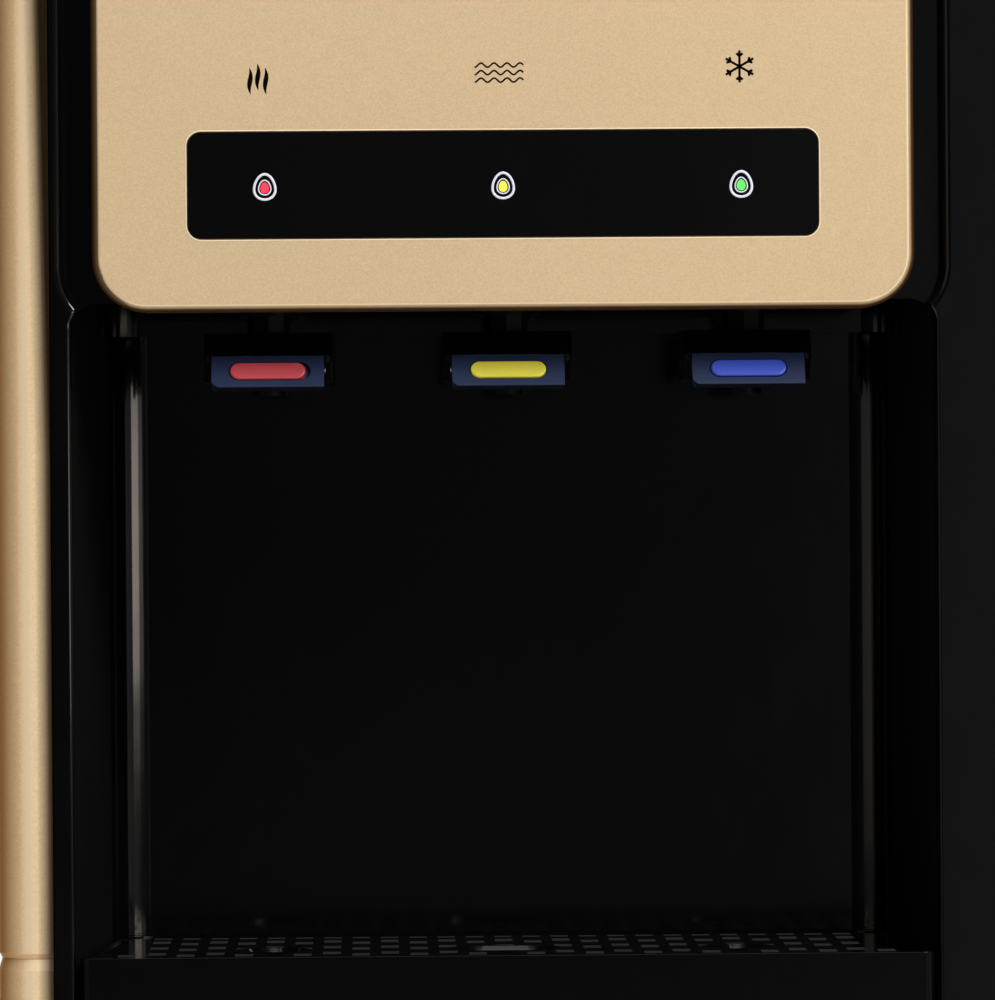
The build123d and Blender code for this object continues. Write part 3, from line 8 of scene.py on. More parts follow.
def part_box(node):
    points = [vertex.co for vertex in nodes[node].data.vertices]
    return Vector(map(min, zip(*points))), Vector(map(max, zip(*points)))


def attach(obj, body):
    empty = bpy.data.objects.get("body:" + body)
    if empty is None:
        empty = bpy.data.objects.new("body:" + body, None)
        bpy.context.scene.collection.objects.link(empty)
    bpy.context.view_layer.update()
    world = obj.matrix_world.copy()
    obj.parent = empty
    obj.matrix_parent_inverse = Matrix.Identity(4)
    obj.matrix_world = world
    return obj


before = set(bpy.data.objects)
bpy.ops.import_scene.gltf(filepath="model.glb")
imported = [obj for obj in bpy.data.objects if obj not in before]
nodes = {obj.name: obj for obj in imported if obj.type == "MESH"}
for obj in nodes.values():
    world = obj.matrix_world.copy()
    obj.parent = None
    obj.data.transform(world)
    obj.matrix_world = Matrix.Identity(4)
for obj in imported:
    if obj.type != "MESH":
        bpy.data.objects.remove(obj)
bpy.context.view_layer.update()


# Sheet-metal frame: base plate, two decks and the condenser's clips, pressed from zinc-coated steel
# and riveted together. Nothing is painted, so the grey crystals of the zinc show.


class Signal:
    """A socket of a material's node tree that can be used in Python sums."""

    def __init__(self, tree, socket=None):
        self.tree = tree
        self.socket = socket

    def add(self, kind, settings=None, sockets=None, outlet=0):
        """Adds a node: its settings first, then the values or links of its sockets."""
        made = self.tree.nodes.new("ShaderNode" + kind)
        for name, value in (settings or {}).items():
            if name == "stops":
                while len(made.color_ramp.elements) < len(value):
                    made.color_ramp.elements.new(1.0)
                for element, (place, level) in zip(made.color_ramp.elements, value):
                    element.position = place
                    element.color = (level, level, level, 1.0)
            else:
                setattr(made, name, value)
        for name, value in (sockets or {}).items():
            if isinstance(value, Signal):
                self.tree.links.new(value.socket, made.inputs[name])
            else:
                made.inputs[name].default_value = value
        return Signal(self.tree, made.outputs[outlet] if made.outputs else None)

    def sum(self, operation, first, second):
        return self.add("Math", {"operation": operation}, {0: first, 1: second})

    def __add__(self, other):
        return self.sum("ADD", self, other)

    def __radd__(self, other):
        return self.sum("ADD", other, self)

    def __sub__(self, other):
        return self.sum("SUBTRACT", self, other)

    def __rsub__(self, other):
        return self.sum("SUBTRACT", other, self)

    def __mul__(self, other):
        return self.sum("MULTIPLY", self, other)

    def __rmul__(self, other):
        return self.sum("MULTIPLY", other, self)

    def place(self):
        return self.add("TexCoord", outlet="Object")

    def noise(self, scale, detail=3.0, stretch=(1, 1, 1)):
        """Cloudy noise from 0 to 1, with scale in lumps to the metre."""
        placed = self.add("Mapping", sockets={"Vector": self.place(), "Scale": stretch})
        return self.add("TexNoise", sockets={"Vector": placed, "Scale": scale, "Detail": detail})

    def cells(self, scale, outlet="Distance"):
        """Cells of a foam or of crystals, with scale in cells to the metre."""
        return self.add("TexVoronoi", sockets={"Vector": self.place(), "Scale": scale}, outlet=outlet)

    def ramp(self, *stops):
        return self.add("ValToRGB", {"stops": stops}, {"Fac": self})

    def tint(self, low, high):
        """Colour between low and high, led by this signal."""
        return self.mix((*low, 1.0), (*high, 1.0))

    def mix(self, low, high):
        """Mix of two colours, each a signal or a plain colour, led by this signal."""
        return self.add("Mix", {"data_type": "RGBA"}, {0: self, 6: low, 7: high}, outlet=2)

    def bump(self, depth, strength=1.0):
        """Normal of a surface that this signal raises by a depth in metres."""
        return self.add("Bump", sockets={"Height": self, "Distance": depth, "Strength": strength})


def new_finish(name):
    """A material without nodes, and a signal to start its tree from."""
    material = bpy.data.materials.new(name)
    material.use_nodes = True
    material.node_tree.nodes.clear()
    return material, Signal(material.node_tree)


def surface(start, sockets):
    """Joins a surface shader with the given sockets to the material's output."""
    shader = start.add("BsdfPrincipled", sockets=sockets)
    start.add("OutputMaterial", sockets={"Surface": shader})


def scaled(color, factor):
    return tuple(channel * factor for channel in color)


def coat(material, *names):
    """Gives CAD nodes a finish in place of the plain one they came with."""
    for name in names:
        nodes[name].data.materials.clear()
        nodes[name].data.materials.append(material)


def zinc_coated():
    material, start = new_finish("zinc_coated_sheet")
    crystals = start.add("SeparateColor", sockets={"Color": start.cells(140, "Color")})
    smears = start.noise(24, 4)
    surface(start, {
        "Base Color": (crystals * 0.6 + smears * 0.4).tint((0.38, 0.39, 0.41), (0.58, 0.59, 0.60)),
        "Metallic": 0.85,
        "Roughness": 0.3 + crystals * 0.18 + smears * 0.1,
        "Normal": start.noise(900, 2).bump(0.00002),
    })
    return material


coat(zinc_coated(), "base_plate", "middle_deck", "tank_deck", "condenser_brackets")


# Feet and compressor grommets: moulded black rubber with a dull skin. The feet are pressed into the
# base plate and the grommets sit between the compressor and its bolts.


def rubber():
    material, start = new_finish("black_rubber")
    dust = start.noise(60, 5)
    surface(start, {
        "Base Color": dust.tint((0.014, 0.014, 0.014), (0.035, 0.034, 0.032)),
        "Roughness": 0.68 + dust * 0.2,
        "Normal": start.noise(1800, 2).bump(0.00004),
    })
    return material


coat(rubber(), "feet", "compressor_mounts")


# Cooling unit: a drawn and welded compressor shell and a steel tube condenser with wires welded
# across it, both dipped in black enamel, which runs a little thin on the wires.


def black_enamel():
    material, start = new_finish("black_enamel")
    runs = start.noise(45, 4, stretch=(1, 1, 0.35))
    surface(start, {
        "Base Color": runs.tint((0.012, 0.012, 0.013), (0.03, 0.03, 0.032)),
        "Roughness": 0.26 + runs * 0.2,
        "Coat Weight": 0.25,
        "Normal": start.noise(320, 3).bump(0.00008),
    })
    return material


coat(black_enamel(), "compressor", "condenser")


# Tanks: spun and welded stainless steel. The cold tank stands in a shaped jacket of bead foam, the
# hot tank wears a clamped heater band, and a short pipe links the two.


def brushed_stainless():
    material, start = new_finish("brushed_stainless")
    lines = start.noise(500, 2, stretch=(1, 1, 0.02))
    surface(start, {
        "Base Color": lines.tint((0.50, 0.50, 0.51), (0.66, 0.66, 0.67)),
        "Metallic": 1.0,
        "Roughness": 0.24 + lines * 0.16,
        "Normal": lines.bump(0.00002),
    })
    return material


def bead_foam():
    material, start = new_finish("bead_foam")
    beads = start.cells(280)
    surface(start, {
        "Base Color": beads.tint((0.84, 0.84, 0.81), (0.66, 0.66, 0.63)),
        "Roughness": 0.85,
        "Normal": (1 - beads).bump(0.0005, 0.7),
    })
    return material


def heater_foil():
    material, start = new_finish("heater_foil")
    creases = start.noise(180, 5)
    surface(start, {
        "Base Color": creases.tint((0.44, 0.41, 0.36), (0.62, 0.59, 0.52)),
        "Metallic": 0.9,
        "Roughness": 0.34 + creases * 0.2,
        "Normal": creases.bump(0.0002),
    })
    return material


coat(brushed_stainless(), "cold_tank", "hot_tank", "tank_link_pipe", "lever_pins", "door_pins")
coat(bead_foam(), "cold_tank_jacket")
coat(heater_foil(), "heater_band")


# Hoses and valve stems: milky silicone rubber, extruded for the hoses and moulded for the stems,
# which close each tap with their soft lower end.


def silicone():
    material, start = new_finish("milky_silicone")
    clouds = start.noise(70, 3)
    surface(start, {
        "Base Color": clouds.tint((0.62, 0.61, 0.56), (0.74, 0.73, 0.69)),
        "Roughness": 0.38 + clouds * 0.14,
        "Subsurface Weight": 0.15,
        "Subsurface Radius": (0.002, 0.002, 0.0015),
    })
    return material


milky = silicone()
coat(milky, "hose_hot", "hose_warm", "hose_cold")
coat(milky, "valve_stem_hot", "valve_stem_warm", "valve_stem_cold")


# Storage compartment, door liner and bottle probe: white moulded plastic, left as it comes from the
# tool, with a faint grain and a little greying where hands and bottles touch it.


def moulding(name, color, roughness, grain, depth, spread=0.12):
    """Coloured plastic: slow clouds in the colour, and a grain in lumps to the metre."""
    material, start = new_finish(name)
    clouds = start.noise(35, 4)
    fine = start.noise(grain, 2)
    surface(start, {
        "Base Color": (clouds * 0.7 + fine * 0.3).tint(scaled(color, 1 - spread), scaled(color, 1 + spread)),
        "Roughness": roughness - 0.06 + clouds * 0.08 + fine * 0.06,
        "Normal": fine.bump(depth),
    })
    return material


white_plastic = moulding("white_moulding", (0.70, 0.70, 0.67), roughness=0.42, grain=1500, depth=0.00003,
    spread=0.05)
coat(white_plastic, "storage_liner", "door_liner", "feed_probe")


# Side panels: steel sheet rolled round the front corners, an upper and a lower one on each side, with
# flakes in a champagne paint. A painted highlight runs where a corner starts to turn away. Further round
# the sheet turns brown with the angle of view, as metallic paint does, and this brown is also painted
# shade. Painted shade darkens the sheet along the seam beside the black front.
champagne = (0.640, 0.478, 0.289)
# Painted highlight: a brighter colour where a rounded edge starts to turn away.
champagne_rim_highlight = (0.90, 0.70, 0.46, 1.0)
# The sheet's brown on its rounded edges is metallic flop and painted shade together.
sheet_flop_and_shade = (0.410, 0.172, 0.036, 1.0)
# Painted shade: the dark brown along the sheet's inner edge beside the black front.
seam_shade_brown = (0.010, 0.005, 0.002, 1.0)
seam_inner = 0.1435
seam_width = 0.006
seam_front = 0.15
seam_front_fade = 100
seam_straight_to = 0.75
seam_spread = 0.018
edge_quickness = 2.2
flat_side_stops = ((0.90, 1.0), (0.985, 0.0))
rim_highlight_stops = ((0.008, 0.0), (0.025, 0.8), (0.05, 0.8), (0.09, 0.0))
turned_stops = ((0.05, 0.0), (0.12, 0.35), (0.24, 0.5), (0.46, 0.85), (0.6, 1.0))
left_edge_shade_stops = ((0.05, 0.0), (0.22, 0.9), (0.8, 1.0))
seam_shade_stops = ((0.0, 1.0), (0.18, 0.92), (0.38, 0.66), (0.6, 0.4), (0.8, 0.08), (0.95, 0.0))


def champagne_paint(name, metal, roughness, grain, light, flop_and_shade, sheet=False):
    """Metallic paint with flakes. On a sheet the rounded edges turn brown with the angle of view, as
    metallic paint does and as painted shade, and the flat sides stay as they are. On a moulding the edges
    get painted shade from their shape alone, most on those that face left. A painted highlight runs where an
    edge starts to turn away."""
    material, start = new_finish(name)
    flake = start.add("SeparateColor", sockets={"Color": start.cells(grain, "Color")})
    drift = start.noise(12, 3)
    glitter = flake * 0.75 + drift * 0.25
    bright = glitter.tint(scaled(champagne, 0.90 * light), scaled(champagne, 1.10 * light))
    outward = start.add("TexCoord", outlet="Normal")
    across = start.add("SeparateXYZ", sockets={"Vector": outward}, outlet="X")
    if sheet:
        facing = start.add("LayerWeight", sockets={"Blend": 0.5}, outlet="Facing")
        facing = facing * (across * across).ramp(*flat_side_stops)
    else:
        # Painted shade on a moulding's edges, set by the shape and not by the angle of view.
        facing = (1 + start.add("SeparateXYZ", sockets={"Vector": outward}, outlet="Y")) * edge_quickness
    # Painted highlight along the start of each rounded edge.
    rim = facing.ramp(*rim_highlight_stops)
    turned = facing.ramp(*turned_stops)
    # More painted shade on the edges that face left.
    if not sheet:
        turned = start.sum("MAXIMUM", turned, (0 - across).ramp(*left_edge_shade_stops))
    color = turned.mix(rim.mix(bright, champagne_rim_highlight), flop_and_shade)
    if sheet:
        place = start.place()
        side = start.add("SeparateXYZ", sockets={"Vector": place}, outlet="X")
        along = start.add("SeparateXYZ", sockets={"Vector": place}, outlet="Y")
        height = start.add("SeparateXYZ", sockets={"Vector": place}, outlet="Z")
        # Painted shade along the inner front edge, widening towards the top.
        wider = start.sum("MAXIMUM", height - seam_straight_to, 0.0) * seam_spread
        inward = (start.sum("MAXIMUM", side, 0 - side) - wider - seam_inner) * (1 / seam_width)
        seam_shade = inward.ramp(*seam_shade_stops)
        front = ((0 - along) - seam_front) * seam_front_fade
        color = (seam_shade * front.ramp((0.0, 0.0), (0.5, 1.0))).mix(color, seam_shade_brown)
    surface(start, {
        "Base Color": color,
        "Metallic": metal,
        "Roughness": roughness + flake * 0.08,
        "Specular Tint": (0.80, 0.52, 0.26, 1.0),
        "Coat Weight": 0.12 - turned * 0.12,
        "Coat Roughness": 0.25,
        "Normal": start.noise(240, 2).bump(0.00002),
    })
    return material


champagne_steel = champagne_paint("champagne_sheet", metal=0.35, roughness=0.36, grain=2600, light=1.55,
    flop_and_shade=sheet_flop_and_shade, sheet=True)
coat(champagne_steel, "left_lower_side", "right_lower_side", "left_upper_side", "right_upper_side")


# Plinth and storage door: the plinth is a black slotted moulding, the door a champagne-painted one
# with a bevelled free edge to pull on. It turns on two steel pins and a magnet holds it shut.
# The moulding's dark brown on its edges is painted shade.
moulding_edge_shade = (0.060, 0.026, 0.009, 1.0)
champagne_plastic = champagne_paint("champagne_moulding", metal=0.30, roughness=0.42, grain=3000,
    light=1.045, flop_and_shade=moulding_edge_shade)
black_plastic = moulding("black_moulding", (0.005, 0.005, 0.0052), roughness=0.40, grain=1700, depth=0.00005,
    spread=0.2)
coat(champagne_plastic, "door_panel", "control_panel")
coat(black_plastic, "plinth", "door_catch")


# Front bezel and dispensing niche: two polished black mouldings that clip together between the gold
# corners. Polished plastic shows faint swirls from wiping and some fine dust. The niche's sides are
# matt, as its deep sides come off the tool.


def polished_black(name, roughness, shine=0.5, matt_sides=0.0):
    """Black gloss plastic. Walls that look sideways can have a matt texture."""
    material, start = new_finish(name)
    swirls = start.noise(260, 4, stretch=(1, 1, 0.3))
    dust = start.noise(2400, 2).ramp((0.66, 0.0), (0.74, 1.0))
    gloss = start.add("BsdfPrincipled", sockets={
        "Base Color": dust.tint((0.0014, 0.0014, 0.0015), (0.005, 0.005, 0.005)),
        "Roughness": roughness + swirls * 0.05 + dust * 0.1,
        "Specular IOR Level": shine,
        "Normal": start.noise(30, 2).bump(0.0001),
    })
    normal = start.add("TexCoord", outlet="Normal")
    across = start.add("SeparateXYZ", sockets={"Vector": normal}, outlet="X")
    sideways = (across * across).ramp((0.93, 0.0), (0.97, matt_sides))
    matt = start.add("BsdfPrincipled", sockets={
        "Base Color": dust.tint((0.0054, 0.0054, 0.0055), (0.009, 0.009, 0.009)),
        "Roughness": 0.8,
        "Specular IOR Level": 0.0,
    })
    both = start.add("MixShader", sockets={0: sideways, 1: gloss, 2: matt})
    start.add("OutputMaterial", sockets={"Surface": both})
    return material


gloss_black = polished_black("polished_black", 0.07)
coat(gloss_black, "front_bezel", "top_cover", "bottle_collar")
coat(polished_black("niche_black", 0.07, matt_sides=1.0), "niche_liner")
coat(polished_black("tray_black", 0.09, shine=0.25), "drip_tray")


# Press taps: black tap bodies held by a nut behind the niche, with a slate-blue lever under each
# hood. A coloured pill is let into each lever, and the red one slides as a child-safety catch.


def lever_plastic():
    """Slate-blue plastic with painted shade, nearly black, on the faces that look down."""
    material, start = new_finish("slate_blue")
    clouds = start.noise(35, 4)
    fine = start.noise(1600, 2)
    normal = start.add("TexCoord", outlet="Normal")
    upward = start.add("SeparateXYZ", sockets={"Vector": normal}, outlet="Z")
    # Painted shade: faces that look down turn nearly black.
    unshaded_upward = (upward * 0.5 + 0.5).ramp((0.10, 0.0), (0.40, 1.0))
    slate = (clouds * 0.7 + fine * 0.3).tint((0.014, 0.023, 0.060), (0.019, 0.031, 0.078))
    surface(start, {
        "Base Color": unshaded_upward.mix((0.002, 0.003, 0.006, 1.0), slate),
        "Roughness": 0.30 - unshaded_upward * 0.06 + clouds * 0.08 + fine * 0.06,
        "Specular IOR Level": 0.25,
        "Normal": fine.bump(0.00002),
    })
    return material


pill_grain = {"roughness": 0.36, "grain": 1900, "depth": 0.00002}
hot_red = moulding("hot_red", (0.50, 0.052, 0.068), **pill_grain)
cold_blue = moulding("cold_blue", (0.032, 0.070, 0.50), **pill_grain)
slate_blue = lever_plastic()
warm_yellow = moulding("warm_yellow", (0.68, 0.60, 0.050), **pill_grain)
tap_black = polished_black("tap_black", 0.36, shine=0.1)
coat(tap_black, "tap_body_hot", "tap_body_warm", "tap_body_cold", "tap_nuts")
coat(slate_blue, "tap_lever_hot", "tap_lever_warm", "tap_lever_cold")
coat(hot_red, "safety_slider_hot")
coat(warm_yellow, "insert_warm")
coat(cold_blue, "insert_cold")


# Drip tray grille: a loose black moulding with rows of slots, which lies on the rim of the tray and
# lifts out for cleaning. It keeps a dull, slightly wet look.
coat(polished_black("grille_black", 0.10), "drip_grille")


# Control panel prints: steam, waves and a snowflake over the three taps, screen printed in black
# ink on the champagne face. Each symbol is swept along its lines by one node tree.
ink_rise = 0.00003
panel_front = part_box("control_panel")[0].y
lens_boxes = [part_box(name) for name in ("indicator_hot", "indicator_warm", "indicator_cold")]
lens_xs = [(low.x + high.x) / 2 for low, high in lens_boxes]


def line_tree():
    """Node tree that sweeps a flat ribbon along every spline of a curve."""
    tree = bpy.data.node_groups.new("printed_line", "GeometryNodeTree")
    sockets = {}
    for label, kind in (("Lines", "Geometry"), ("Width", "Float"), ("Rise", "Float"), ("Ink", "Material")):
        made = tree.interface.new_socket(label, in_out="INPUT", socket_type="NodeSocket" + kind)
        sockets[label] = made.identifier
    tree.interface.new_socket("Print", in_out="OUTPUT", socket_type="NodeSocketGeometry")
    made = {}
    for name, kind in (("start", "NodeGroupInput"), ("normal", "GeometryNodeSetCurveNormal"),
            ("ribbon", "GeometryNodeCurvePrimitiveQuadrilateral"), ("taper", "GeometryNodeInputRadius"),
            ("sweep", "GeometryNodeCurveToMesh"),
            ("real", "GeometryNodeRealizeInstances"), ("ink", "GeometryNodeSetMaterial"),
            ("end", "NodeGroupOutput")):
        made[name] = tree.nodes.new(kind)
    made["normal"].mode = "FREE"
    made["normal"].inputs["Normal"].default_value = (0, -1, 0)
    made["sweep"].inputs["Fill Caps"].default_value = True
    for source, outlet, target, inlet in (
        ("start", "Lines", "normal", "Curve"),
        ("start", "Width", "ribbon", "Height"),
        ("start", "Rise", "ribbon", "Width"),
        ("normal", "Curve", "sweep", "Curve"),
        ("ribbon", "Curve", "sweep", "Profile Curve"),
        ("taper", "Radius", "sweep", "Scale"),
        ("sweep", "Mesh", "real", "Geometry"),
        ("real", "Geometry", "ink", "Geometry"),
        ("start", "Ink", "ink", "Material"),
        ("ink", "Geometry", "end", "Print"),
    ):
        tree.links.new(made[source].outputs[outlet], made[target].inputs[inlet])
    return tree, sockets


line_nodes, line_sockets = line_tree()


def as_mesh(made, name):
    """Plain mesh object of what a curve or its modifiers show."""
    shown = made.evaluated_get(bpy.context.evaluated_depsgraph_get())
    mesh = bpy.data.meshes.new_from_object(shown)
    bpy.data.objects.remove(made)
    piece = bpy.data.objects.new(name, mesh)
    bpy.context.scene.collection.objects.link(piece)
    return piece


def printed(name, lines, width, rise, ink, body):
    """Flat printed lines. Each line is its points, whether it closes, and its taper."""
    curve = bpy.data.curves.new(name, "CURVE")
    curve.dimensions = "3D"
    for points, closed, taper in lines:
        spline = curve.splines.new("POLY")
        spline.points.add(len(points) - 1)
        spline.use_cyclic_u = closed
        for i, (spot, point) in enumerate(zip(spline.points, points)):
            spot.co = (*point, 1.0)
            spot.radius = taper(i / (len(points) - 1))
    drawn = bpy.data.objects.new(name + "_lines", curve)
    bpy.context.scene.collection.objects.link(drawn)
    sweep = drawn.modifiers.new("print", "NODES")
    sweep.node_group = line_nodes
    sweep[line_sockets["Width"]] = width
    sweep[line_sockets["Rise"]] = 2 * rise
    sweep[line_sockets["Ink"]] = ink
    piece = as_mesh(drawn, name)
    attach(piece, body)
    return piece


def even(along):
    return 1.0


def ink_finish(name, color, glow=0.0, shine=0.4):
    material, start = new_finish(name)
    speckle = start.noise(5000, 2)
    surface(start, {
        "Base Color": speckle.tint(scaled(color, 0.85), scaled(color, 1.1)),
        "Roughness": 0.45 + speckle * 0.1,
        "Specular IOR Level": shine,
        "Emission Color": (*color, 1.0),
        "Emission Strength": glow,
    })
    return material


black_ink = ink_finish("black_ink", (0.002, 0.0017, 0.0017), shine=0.03)
wave_length = 0.0039
wave_height = 0.00062
wave_count = 3.75
wave_pitch = 0.00225
wave_level = 0.8652
wave_stroke = 0.00054
wave_shift = 0.0010
wave_steps = 60


def waves(middle_x):
    lines = []
    for row in (-1, 0, 1):
        points = []
        for i in range(wave_steps + 1):
            turn = wave_count * i / wave_steps
            x = middle_x + (turn - wave_count / 2) * wave_length
            points.append((x, panel_front, wave_level + row * wave_pitch - wave_height * cos(2 * pi * turn)))
        lines.append((points, False, even))
    return lines


flake_level = 0.8666
flake_arm = 0.0048
flake_barb = 0.0013
flake_barb_root = 0.0031
flake_barb_lean = radians(48)
flake_stroke = 0.00074
flake_shift = 0.0003


def snowflake(middle_x):
    lines = []
    for arm in range(6):
        turn = radians(90 + 60 * arm)
        root = (middle_x + flake_barb_root * cos(turn), flake_level + flake_barb_root * sin(turn))
        tip = (middle_x + flake_arm * cos(turn), flake_level + flake_arm * sin(turn))
        lines.append(([(middle_x, panel_front, flake_level), (tip[0], panel_front, tip[1])], False, even))
        for side in (-1, 1):
            lean = turn + side * flake_barb_lean
            end = (root[0] + flake_barb * cos(lean), root[1] + flake_barb * sin(lean))
            lines.append(([(root[0], panel_front, root[1]), (end[0], panel_front, end[1])], False, even))
    return lines


wisp_height = 0.0078
wisp_pitch = 0.00235
wisp_sway = 0.00028
wisp_lean = 0.8
wisp_lift = 0.0012
wisp_level = 0.8592
wisp_stroke = 0.0013
wisp_tip = 0.12
wisp_shift = 0.0017
wisp_steps = 24


def wisp_taper(along):
    return wisp_tip + sin(pi * along)


def steam(middle_x):
    lines = []
    for wisp in (-1, 0, 1):
        low = wisp_level + (wisp_lift if wisp == 0 else 0.0)
        points = []
        for i in range(wisp_steps + 1):
            along = i / wisp_steps
            sway = wisp_sway * sin(2 * pi * along) + wisp_sway * wisp_lean * along
            x = middle_x + wisp * wisp_pitch - sway
            points.append((x, panel_front, low + wisp_height * along))
        lines.append((points, False, wisp_taper))
    return lines


hot_lines = steam(lens_xs[0] - wisp_shift)
warm_lines = waves(lens_xs[1] - wave_shift)
cold_lines = snowflake(lens_xs[2] - flake_shift)
printed("steam_print", hot_lines, wisp_stroke, ink_rise, black_ink, "cabinet")
printed("waves_print", warm_lines, wave_stroke, ink_rise, black_ink, "cabinet")
printed("snowflake_print", cold_lines, flake_stroke, ink_rise, black_ink, "cabinet")


# Display: a gloss black acrylic window let into the panel. Behind it three drop-shaped lenses are
# lit, each with a white ring printed round its edge and a thinner one round its core. A thin bright band
# round the window is a painted highlight, standing for the light on the window's bevelled lip.
coat(polished_black("display_acrylic", 0.07), "display_window")
lip_gap = 0.000575
lip_width = 0.00035
lip_radius = 0.0046
lip_steps = 12


def rounded_frame(low, high, front, radius):
    """Closed outline of an upright rectangle with round corners."""
    points = []
    for corner, (x, z) in enumerate(((high.x, high.z), (low.x, high.z), (low.x, low.z), (high.x, low.z))):
        middle_x = x - radius if x == high.x else x + radius
        middle_z = z - radius if z == high.z else z + radius
        for i in range(lip_steps + 1):
            turn = radians(90 * (corner + i / lip_steps))
            points.append((middle_x + radius * cos(turn), front, middle_z + radius * sin(turn)))
    return points


window_low, window_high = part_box("display_window")
lip_reach = Vector((lip_gap, 0, lip_gap))
lip_line = rounded_frame(window_low - lip_reach, window_high + lip_reach, panel_front, lip_radius)
# The band's light champagne is a painted highlight.
lip_highlight_paint = moulding("painted_lip_highlight", (0.84, 0.70, 0.48), roughness=0.3, grain=1700, depth=0.00001,
    spread=0.03)
printed("display_lip", [(lip_line, True, even)], lip_width, ink_rise, lip_highlight_paint, "cabinet")
lens_bezel = polished_black("lens_acrylic", 0.09)
# The white ink glows faintly, which is painted light on print.
glowing_white_ink = ink_finish("glowing_white_ink", (0.70, 0.70, 0.80), glow=0.06)
lens_cores = (
    ("indicator_hot", "red", (0.95, 0.035, 0.07), "lens_red"),
    ("indicator_warm", "yellow", (0.70, 0.75, 0.06), "lens_yellow"),
    ("indicator_cold", "green", (0.10, 0.72, 0.10), "lens_green"),
)
ring_size = (0.00318, 0.0034, 0.0042)
ring_stroke = 0.00074
inner_ring_size = (0.00182, 0.0020, 0.0024)
inner_ring_stroke = 0.00038
core_size = (0.00130, 0.0015, 0.0018)
core_glow = 0.5
drop_steps = 48
drop_lean = 0.12


def drop(middle_x, middle_z, front, half_width, fall, rise):
    """Closed outline of a drop: round below, drawn in above."""
    points = []
    for i in range(drop_steps):
        turn = 2 * pi * i / drop_steps
        reach = rise if sin(turn) > 0 else fall
        across = half_width * cos(turn) * (1 - drop_lean * sin(turn))
        points.append((middle_x + across, front, middle_z + reach * sin(turn)))
    return points


def slab(name, outline, push):
    """Closed slab between a flat outline and the same outline pushed along a vector."""
    made = bmesh.new()
    back = [made.verts.new(point) for point in outline]
    front = [made.verts.new(Vector(point) + Vector(push)) for point in outline]
    made.faces.new(back)
    made.faces.new(front)
    for i in range(len(outline)):
        made.faces.new((back[i - 1], back[i], front[i], front[i - 1]))
    bmesh.ops.recalc_face_normals(made, faces=made.faces)
    mesh = bpy.data.meshes.new(name)
    made.to_mesh(mesh)
    made.free()
    piece = bpy.data.objects.new(name, mesh)
    bpy.context.scene.collection.objects.link(piece)
    return piece


for (low, high), (lens, color, glow_color, slot) in zip(lens_boxes, lens_cores):
    middle_x = (low.x + high.x) / 2
    middle_z = low.z + (high.x - low.x) / 2
    coat(lens_bezel, lens)
    ring = [(drop(middle_x, middle_z, low.y, *ring_size), True, even)]
    printed("ring_" + color, ring, ring_stroke, ink_rise, glowing_white_ink, "cabinet")
    inner = [(drop(middle_x, middle_z, low.y, *inner_ring_size), True, even)]
    printed("inner_ring_" + color, inner, inner_ring_stroke, ink_rise, glowing_white_ink, "cabinet")
    core = slab("core_" + color, drop(middle_x, middle_z, low.y, *core_size), (0, -ink_rise, 0))
    core.data.materials.append(ink_finish("lit_" + color, glow_color, glow=core_glow))
    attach(core, "cabinet")


# Control board: a green glass-fibre board behind the display, with a lacquer that lets the copper
# tracks show as lighter lines.


def board_lacquer():
    material, start = new_finish("board_lacquer")
    tracks = start.cells(160).ramp((0.30, 0.0), (0.36, 1.0))
    surface(start, {
        "Base Color": tracks.tint((0.010, 0.075, 0.030), (0.020, 0.13, 0.055)),
        "Roughness": 0.34 + tracks * 0.1,
        "Normal": tracks.bump(0.00004),
    })
    return material


coat(board_lacquer(), "control_board")


# Rear panel: pressed sheet with louvres, powder coated black, which leaves a fine orange peel.
# Self-tapping screws with domed heads hold it to the side panels.


def powder_coat():
    material, start = new_finish("black_powder_coat")
    peel = start.noise(700, 2)
    dust = start.noise(20, 5)
    surface(start, {
        "Base Color": dust.tint((0.010, 0.010, 0.0105), (0.020, 0.020, 0.020)),
        "Roughness": 0.5 + dust * 0.16,
        "Normal": peel.bump(0.0001),
    })
    return material


coat(powder_coat(), "rear_panel")
rear_skin = 0.155
screw_radius = 0.0035
screw_dome = 0.0021
screw_side = 0.020
screw_end = 0.017
screw_rows = 4
screw_steps = 32
screw_levels = [radians(level) for level in range(0, 90, 15)]
cross_long = 0.0019
cross_short = 0.0006
cross_depth = 0.0011


def screw_head():
    """Domed head that faces the rear, with a cross cut into it."""
    made = bmesh.new()
    turns = [2 * pi * i / screw_steps for i in range(screw_steps)]
    rings = []
    for level in screw_levels:
        reach = screw_radius * cos(level)
        rise = screw_dome * sin(level)
        rings.append([made.verts.new((reach * sin(turn), rise, reach * cos(turn))) for turn in turns])
    top = made.verts.new((0, screw_dome, 0))
    made.faces.new(rings[0])
    for i in range(screw_steps):
        for lower, upper in zip(rings, rings[1:]):
            made.faces.new((lower[i - 1], lower[i], upper[i], upper[i - 1]))
        made.faces.new((rings[-1][i - 1], rings[-1][i], top))
    bmesh.ops.recalc_face_normals(made, faces=made.faces)
    mesh = bpy.data.meshes.new("screw_head")
    made.to_mesh(mesh)
    made.free()
    head = bpy.data.objects.new("screw_head", mesh)
    bpy.context.scene.collection.objects.link(head)
    outline = []
    for turn in range(4):
        for x, z in ((cross_short, cross_long), (cross_short, cross_short), (cross_long, cross_short)):
            spot = Matrix.Rotation(turn * pi / 2, 3, "Y") @ Vector((x, 2 * screw_dome, z))
            outline.append(spot)
    cross = slab("cross", outline, (0, -screw_dome - cross_depth, 0))
    cut = head.modifiers.new("cross", "BOOLEAN")
    cut.operation = "DIFFERENCE"
    cut.object = cross
    finished = as_mesh(head, "screw_head")
    bpy.data.objects.remove(cross)
    return finished


